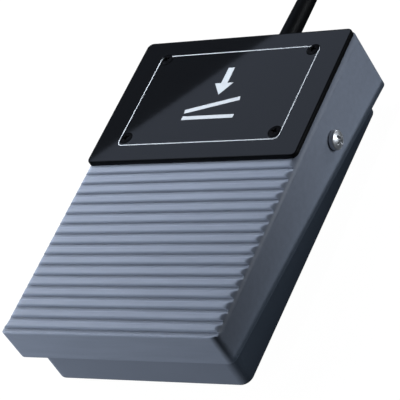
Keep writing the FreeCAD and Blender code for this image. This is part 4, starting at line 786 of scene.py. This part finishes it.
def strap_loop(low, high, thickness):
    """A strap wound once round the bundle in a box and on over itself.

    Its middle line is a rounded rectangle in the upright plane. The strap's thickness is laid outwards,
    and the line steps out by that thickness over its last part, so the tail lies on the first layer."""
    corner, tail = 3 * MM, 13 * MM
    middle, half = (high + low) / 2, (high - low) / 2
    outline = rounded_outline(half.y - thickness, low.z + thickness, high.z - thickness, corner, steps=10)
    ring = np.concatenate([outline, outline[:1]]) + [middle.y, 0.0]
    lengths = np.concatenate([[0.0], np.cumsum(np.linalg.norm(np.diff(ring, axis=0), axis=1))])
    travel = np.linspace(0.0, lengths[-1] + tail, 160)
    around = travel % lengths[-1]
    line = np.column_stack([np.interp(around, lengths, ring[:, 0]), np.interp(around, lengths, ring[:, 1])])
    way = np.gradient(line, axis=0)
    way[-1], way[0] = way[-2], way[1]
    way /= np.linalg.norm(way, axis=1, keepdims=True)
    outward = np.column_stack([way[:, 1], -way[:, 0]])
    step_out = thickness * 1.04 * smooth_step(travel, lengths[-1] - 5 * MM, lengths[-1] - 1 * MM)
    side = np.array([-0.5, -0.5, -0.46, 0.46, 0.5, 0.5, 0.46, -0.46]) * 2 * half.x + middle.x
    lift = np.array([0.12, 0.88, 1.0, 1.0, 0.88, 0.12, 0.0, 0.0]) * thickness
    base = line + outward * step_out[:, None]
    places = base[:, None, :] + outward[:, None, :] * lift[None, :, None]
    rings = np.concatenate([np.broadcast_to(side[None, :, None], (len(travel), 8, 1)), places], -1)
    return skin(rings, rings[[0, -1]].mean(1))


def strap_map(mesh, scale=3.0):
    """A surface map for a strap: the way round the loop along U and the strap's own width along V."""
    places = np.array([vertex.co for vertex in mesh.vertices])
    across, along, up = (places - (places.min(0) + places.max(0)) / 2).T
    values = np.column_stack([np.arctan2(up, along) / (2 * math.pi) * scale, across / across.max()])
    corners = [loop.vertex_index for loop in mesh.loops]
    mesh.uv_layers.new(name="strap").data.foreach_set("uv", values[corners].astype(np.float32).ravel())


def overmould_surface(low, high, tail, corner, neck):
    """The plug's soft body in its box, as rounded sections from the cord's tail to the shell.

    Each section is a rounded rectangle whose half sizes and corner follow its place: the tail swells
    from the cord's neck by a half wave, three grooves bend it, and shallow finger waves cross the body."""
    middle, half = (high + low) / 2, (high - low) / 2
    body = high.y - low.y - tail
    groove, grip_wave, edge = 0.35 * MM, 0.22 * MM, 0.8 * MM
    grip_start, grip_length, waves = 5 * MM, 12 * MM, 5
    places = np.concatenate([np.linspace(0.0, tail, 29), tail + np.linspace(0.05, 1.0, 44) * body])
    swell = smooth_step(places, tail - 1.2 * MM, tail + 3.2 * MM)
    tail_half = neck + (0.62 * half.z - neck) * np.clip(places / tail, 0.0, 1.0)
    tail_half -= groove * (np.cos(places / tail * 8 * math.pi) < -0.2) * (places < tail * 0.97)
    along_grip = np.clip((places - tail - grip_start) / grip_length, 0, 1)
    grip = grip_wave * (0.5 - 0.5 * np.cos(along_grip * 2 * math.pi * waves))
    end = quarter_round(tail + body - places, edge)
    half_x = tail_half + (half.x - tail_half) * swell - end - grip * swell
    half_z = tail_half + (half.z - tail_half) * swell - end
    radius = np.minimum(np.minimum(half_x, half_z) * 0.999, tail_half + (corner - tail_half) * swell)
    turns, sign_x, sign_z = corner_turns(6)
    x = sign_x * (half_x - radius)[:, None] + np.outer(radius, np.cos(turns))
    z = sign_z * (half_z - radius)[:, None] + np.outer(radius, np.sin(turns))
    y = np.repeat((high.y - places)[:, None], len(turns), axis=1)
    rings = np.stack([middle.x + x, y, middle.z + z], -1)
    return skin(rings, [[middle.x, high.y, middle.z], [middle.x, low.y, middle.z]])


def spring_surface(place, side, radius, wire, low, high, turns):
    """A wire wound round an upright line: a circle carried along a helix, closed at both ends."""
    turned = np.linspace(0.0, turns, turns * 32 + 1)
    closed = (smooth_step(turned, 0.0, 1.2) + smooth_step(turned, turns - 1.2, turns)) / 2
    angle = 2 * math.pi * turned
    out = np.stack([np.cos(angle), np.sin(angle), np.zeros(len(angle))], -1)
    middle = out * radius + [side, place, 0.0]
    middle[:, 2] = low + wire + (high - low - 2 * wire) * (0.82 * turned / turns + 0.18 * closed)
    ring = circles([wire], [0.0], 12)
    points = middle[:, None] + ring[..., :1] * out[:, None] + ring[..., 1:2] * np.array(UP)
    return skin(points, middle[[0, -1]], inside_out=True)


# The studio's lights: name, place, what each faces, size, radiance, the setting of its tint, and whether
# mirror rays see it. The label plate would show the others as white patches.
LIGHTS = (
    ("high light", (-0.06, 0.09, 0.14), (0.0, 0.03, 0.02), (0.06, 0.06), 16.5, "light_tint", False),
    ("left light", (-0.33, 0.05, 0.15), (0.0, 0.0, 0.02), (0.3, 0.3), 12.5, "light_tint", False),
    ("front light", (-0.21, -0.28, 0.085), (0.0, 0.0, 0.02), (0.15, 0.08), 29.0, "light_tint", False),
    ("right rear light", (0.12, 0.25, 0.06), (0.0, 0.0, 0.02), (0.06, 0.06), 10.0, "light_tint", True),
    ("right light", (0.12, 0.045, 0.024), (0.035, 0.02, 0.015), (0.03, 0.03), 15.5, "light_tint", True),
    ("plate card", (-0.495, 0.432, 0.843), (0.081, -0.130, 0.249), (0.8, 0.6), 0.56, "card_tint", True),
    ("dim card", (-0.68, 0.58, 0.86), (0.081, -0.130, 0.249), (0.8, 0.8), 0.075, "card_tint", True),
)

# Corners of the floor, and of a shade close to the right side that keeps the light off the base
FLOOR = ((-6.0, -6.0, 0.0), (6.0, -6.0, 0.0), (6.0, 6.0, 0.0), (-6.0, 6.0, 0.0))
SHADE = ((0.038, -0.060, 0.0), (0.038, 0.056, 0.0), (0.038, 0.056, 0.0085), (0.038, -0.060, 0.0168))
SHADE_TINT, SHADE_GLOW = (0.70, 0.86, 1.0), 0.16

# The pictogram's shapes in mm from the cover's front edge: level bar, tilted bar, arrow's shaft and head
PICTOGRAM = (
    ((-8.6, 73.2), (8.6, 73.2), (8.6, 74.5), (-8.6, 74.5)),
    ((-8.6, 75.6), (8.2, 79.7), (7.85, 81.1), (-8.95, 77.0)),
    ((-1.05, 86.4), (1.05, 86.4), (1.05, 92.4), (-1.05, 92.4)),
    ((-3.1, 86.6), (0.0, 82.2), (3.1, 86.6)),
)

# Radii and heights in mm: the pivot screws' thread, and the two grooves under a foot
THREAD = ((0.4, 0.0), (1.5, 0.0), (1.5, -5.2), (1.1, -5.5))
FOOT_RINGS = ((3.6, 0.0), (3.45, 0.12), (3.15, 0.12), (3.0, 0.0), (2.2, 0.0), (2.05, 0.12), (1.75, 0.12),
              (1.6, 0.0))


def set_down(right, up, place):
    """The matrix of an object that looks down its own -Z, with its right and up turned the given ways."""
    right = Vector(right).normalized()
    back = right.cross(Vector(up)).normalized()
    return Matrix.Translation(Vector(place)) @ Matrix([right, back.cross(right), back]).transposed().to_4x4()


def stage_sheet(name, corners, tint, glow):
    """A flat dark sheet of the studio with its own light."""
    sheet = show(name, build_mesh(name, corners, [[[0, 1, 2, 3]]]))
    finish = NodeFinish(name).set(base_color=(0.02, 0.02, 0.02, 1.0), roughness=1.0,
                                  emission_color=(*tint, 1.0), emission_strength=glow)
    sheet.data.materials.append(finish.material)
    return sheet


# One operator for each piece or group of like pieces

class PEDAL_OT_studio(bpy.types.Operator):
    """Set up the pale floor, the soft lights and the camera"""
    bl_idname = "pedal.studio"
    bl_label = "Studio"

    def execute(self, context):
        scene = context.scene
        settings = scene.pedal_studio
        floor = stage_sheet("floor", FLOOR, (1.0, 1.0, 1.0), settings.floor_glow)
        floor.visible_diffuse = floor.visible_glossy = False
        stage_sheet("shade card", SHADE, SHADE_TINT, SHADE_GLOW).visible_camera = False

        for name, place, target, size, radiance, tint, mirrored in LIGHTS:
            lamp = bpy.data.lights.new(name, "AREA")
            lamp.shape = "RECTANGLE"
            lamp.size, lamp.size_y = size
            lamp.color = getattr(settings, tint)
            lamp.energy = radiance * math.pi * size[0] * size[1]
            light = show(name, lamp)
            light.visible_camera = False
            light.visible_glossy = mirrored
            back = Vector(place) - Vector(target)
            right = UP.cross(back)
            light.matrix_world = set_down(right, back.cross(right), place)

        scene.world = bpy.data.worlds.new("studio")
        scene.world.use_nodes = True
        background = scene.world.node_tree.nodes["Background"]
        background.inputs["Color"].default_value = (*settings.sky, 1.0)
        background.inputs["Strength"].default_value = settings.sky_strength

        camera = show("camera", bpy.data.cameras.new("camera"))
        camera.data.lens = settings.lens
        camera.data.sensor_width = settings.sensor
        camera.data.clip_start, camera.data.clip_end = 0.01, 50.0
        camera.matrix_world = set_down(settings.camera_right, settings.camera_up, settings.camera_place)
        scene.camera = camera
        scene.view_settings.view_transform = "Standard"
        return {"FINISHED"}


class PEDAL_OT_cord(bpy.types.Operator):
    """Lay the free cord from its strain relief through its coil to the plug"""
    bl_idname = "pedal.cord"
    bl_label = "Cord"

    def execute(self, context):
        sizes = context.scene.pedal_cord
        route = cord_route(sizes)
        curve = bpy.data.curves.new("cord", "CURVE")
        curve.dimensions = "3D"
        spline = curve.splines.new("NURBS")
        spline.points.add(len(route) - 1)
        spline.points.foreach_set("co", np.column_stack([route, np.ones(len(route))]).ravel())
        spline.order_u = 3
        spline.use_endpoint_u = True
        spline.resolution_u = 8
        curve.bevel_depth = sizes.radius
        curve.bevel_resolution = 6
        curve.use_fill_caps = True
        curve.materials.append(finish_of("cord_black"))
        cord = show("free_cord", curve)
        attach(cord, "base")
        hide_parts("cord_lead", "cord_coil", "cord_plug_lead")
        return {"FINISHED"}


class PEDAL_OT_cord_tie(bpy.types.Operator):
    """Wind the woven strap round the coil"""
    bl_idname = "pedal.cord_tie"
    bl_label = "Cord Tie"

    def execute(self, context):
        mesh = build_mesh("coil_tie", *strap_loop(*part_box("cord_tie"), context.scene.pedal_cord.strap))
        strap_map(mesh)
        add_piece("coil_tie", mesh, "base", "tie_black", ("cord_tie",))
        return {"FINISHED"}


class PEDAL_OT_plug(bpy.types.Operator):
    bl_idname = "pedal.plug"
    bl_label = "Plug"

    def execute(self, context):
        sizes = context.scene.pedal_cord
        shape = overmould_surface(*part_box("plug_overmould"), sizes.tail, sizes.plug_corner, sizes.plug_neck)
        body = add_piece("plug_body", shape, "base", "cord_black", ("plug_overmould",))
        return {"FINISHED"}


class PEDAL_OT_tread_cover(bpy.types.Operator):
    """Mould the ribbed tread cover"""
    bl_idname = "pedal.tread_cover"
    bl_label = "Tread Cover"

    def execute(self, context):
        sizes = context.scene.pedal_cover
        inside = cover_inside_parts(sizes, context.scene.pedal_label)
        shape = on_cover(join_parts([tread_cover_surface(sizes), *inside]), sizes)
        add_piece("tread_cover", shape, "pedal", "cover_plastic", ("pedal_cover",))
        return {"FINISHED"}


class PEDAL_OT_label(bpy.types.Operator):
    """Print the thin line and the plain pictogram on the label plate"""
    bl_idname = "pedal.label"
    bl_label = "Label"

    def execute(self, context):
        sizes = context.scene.pedal_cover
        label = context.scene.pedal_label
        line = ring_line(label.line_half, label.line_front, label.line_back, label.line_corner,
                         label.line_width, label.ink)
        shapes = [prism(np.array(shape) * MM, 0.0, label.ink) for shape in PICTOGRAM]
        surface = sizes.tread_above_pivot + label.plate_thickness
        shape = on_cover(moved(join_parts([line, *shapes]), [0.0, 0.0, surface]), sizes)
        add_piece("label_print", shape, "pedal", "label_black",
                  material=printed_ink("pale ink", context.scene.pedal_colours.ink))
        return {"FINISHED"}


class PEDAL_OT_label_screws(bpy.types.Operator):
    """Drive the four small blackened screws into the label plate"""
    bl_idname = "pedal.label_screws"
    bl_label = "Label Screws"

    def execute(self, context):
        sizes = context.scene.pedal_cover
        label = context.scene.pedal_label
        seat = sizes.tread_above_pivot + label.plate_thickness - label.head_depth
        points, faces = cross_head_screw(label.head_radius, label.head_depth, label.head_dome,
                                         label.shank_radius, label.shank_length, label.cross_depth)
        x, y, height = points.T
        turns = (0.4, 1.3, 2.2, 3.1)
        parts = []
        for turn, place in zip(turns, label_screw_places(sizes, label)):
            cosine, sine = math.cos(turn), math.sin(turn)
            spun = np.column_stack([x * cosine - y * sine, x * sine + y * cosine, height])
            parts.append((spun + [*place, seat], faces))
        shape = on_cover(join_parts(parts), sizes)
        add_piece("plate_screws", shape, "pedal", "black_steel", ("label_screws",))
        return {"FINISHED"}


class PEDAL_OT_pivot_screws(bpy.types.Operator):
    """Fit the two bright shoulder screws that the cover turns on"""
    bl_idname = "pedal.pivot_screws"
    bl_label = "Pivot Screws"

    def execute(self, context):
        head_height, head_radius = 2.1 * MM, 2.75 * MM
        shoulder_radius, shoulder, cross_depth = 2.0 * MM, 2.6 * MM, 0.9 * MM
        screw = cross_head_screw(head_radius, 0.55 * head_height, 0.45 * head_height,
                                 shoulder_radius, shoulder, cross_depth)
        overlap = 0.05 * MM
        thread = moved(lathe(np.array(THREAD) * MM, 40), [0.0, 0.0, overlap - shoulder])
        points, faces = join_parts([screw, thread])
        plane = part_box("pivot_screws")[1].x - head_height
        parts = [(points[:, ::-1] * [side, side, 1] + [side * plane, *PIVOT[1:]], faces) for side in (1, -1)]
        add_piece("shoulder_screws", join_parts(parts), "base", "bright_steel", ("pivot_screws",))
        return {"FINISHED"}


class PEDAL_OT_feet(bpy.types.Operator):
    """Seat the four rubber feet under the base"""
    bl_idname = "pedal.feet"
    bl_label = "Rubber Feet"

    def execute(self, context):
        low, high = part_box("rubber_feet")
        radius, edge, height = 5.0 * MM, 0.35 * MM, high.z - low.z
        turn = quarter(5)
        rounded = np.column_stack([radius - edge * (1.0 - np.cos(turn)), edge * (1.0 - np.sin(turn))])
        foot = lathe([(0.4 * MM, height), (radius, height), *rounded, *(np.array(FOOT_RINGS) * MM),
                      (0.3 * MM, 0.0)], 56)
        parts = [moved(foot, [x, y, low.z])
                 for x in (low.x + radius, high.x - radius) for y in (low.y + radius, high.y - radius)]
        add_piece("feet", join_parts(parts), "base", "black_rubber", ("rubber_feet",))
        return {"FINISHED"}


class PEDAL_OT_springs(bpy.types.Operator):
    """Wind the two return springs as fixed coils; the real springs shorten as the pedal goes down"""
    bl_idname = "pedal.springs"
    bl_label = "Return Springs"

    def execute(self, context):
        low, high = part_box("return_springs")
        wire, radius, turns = 0.4 * MM, 3.6 * MM, 8
        place = (low.y + high.y) / 2
        out = context.scene.pedal_cover.spring_side
        parts = [spring_surface(place, side * out, radius, wire, low.z, high.z, turns) for side in (1, -1)]
        springs = add_piece("coil_springs", join_parts(parts), "base", "spring_steel", ("return_springs",))
        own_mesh(springs)
        return {"FINISHED"}


class PEDAL_OT_node_finishes(bpy.types.Operator):
    """Give every piece that stays as it is its finish"""
    bl_idname = "pedal.node_finishes"
    bl_label = "Other Finishes"

    def execute(self, context):
        slots = {part["node"]: part["material_slot"] for part in frame["record"]["subparts"]}
        for name, node in frame["nodes"].items():
            node.data.materials.clear()
            node.data.materials.append(finish_of(slots[name]))
        return {"FINISHED"}


class PEDAL_PT_panel(bpy.types.Panel):
    """Lists the pieces of the foot pedal"""
    bl_label = "Foot Pedal"
    bl_idname = "PEDAL_PT_panel"
    bl_space_type = "VIEW_3D"
    bl_region_type = "UI"
    bl_category = "Foot Pedal"

    def draw(self, context):
        for operator in OPERATORS:
            self.layout.operator(operator.bl_idname)
        for group in SETTINGS:
            box = self.layout.box()
            settings = getattr(context.scene, group)
            for name in settings.bl_rna.properties.keys():
                if name not in ("rna_type", "name"):
                    box.prop(settings, name)


SETTINGS = {
    "pedal_cover": PedalCoverSizes,
    "pedal_label": LabelSizes,
    "pedal_cord": CordSizes,
    "pedal_colours": PedalColours,
    "pedal_studio": StudioSettings,
}
OPERATORS = (
    PEDAL_OT_studio, PEDAL_OT_node_finishes, PEDAL_OT_cord, PEDAL_OT_cord_tie, PEDAL_OT_plug,
    PEDAL_OT_tread_cover, PEDAL_OT_label, PEDAL_OT_label_screws, PEDAL_OT_pivot_screws, PEDAL_OT_feet,
    PEDAL_OT_springs,
)


def register():
    for group in (*SETTINGS.values(), *OPERATORS, PEDAL_PT_panel):
        bpy.utils.register_class(group)
    for name, group in SETTINGS.items():
        setattr(bpy.types.Scene, name, PointerProperty(type=group))


def unregister():
    for name in SETTINGS:
        delattr(bpy.types.Scene, name)
    for group in reversed((*SETTINGS.values(), *OPERATORS, PEDAL_PT_panel)):
        bpy.utils.unregister_class(group)


def main():
    register()
    for operator in OPERATORS:
        category, name = operator.bl_idname.split(".")
        getattr(getattr(bpy.ops, category), name)()


if __name__ == "__main__":
    main()
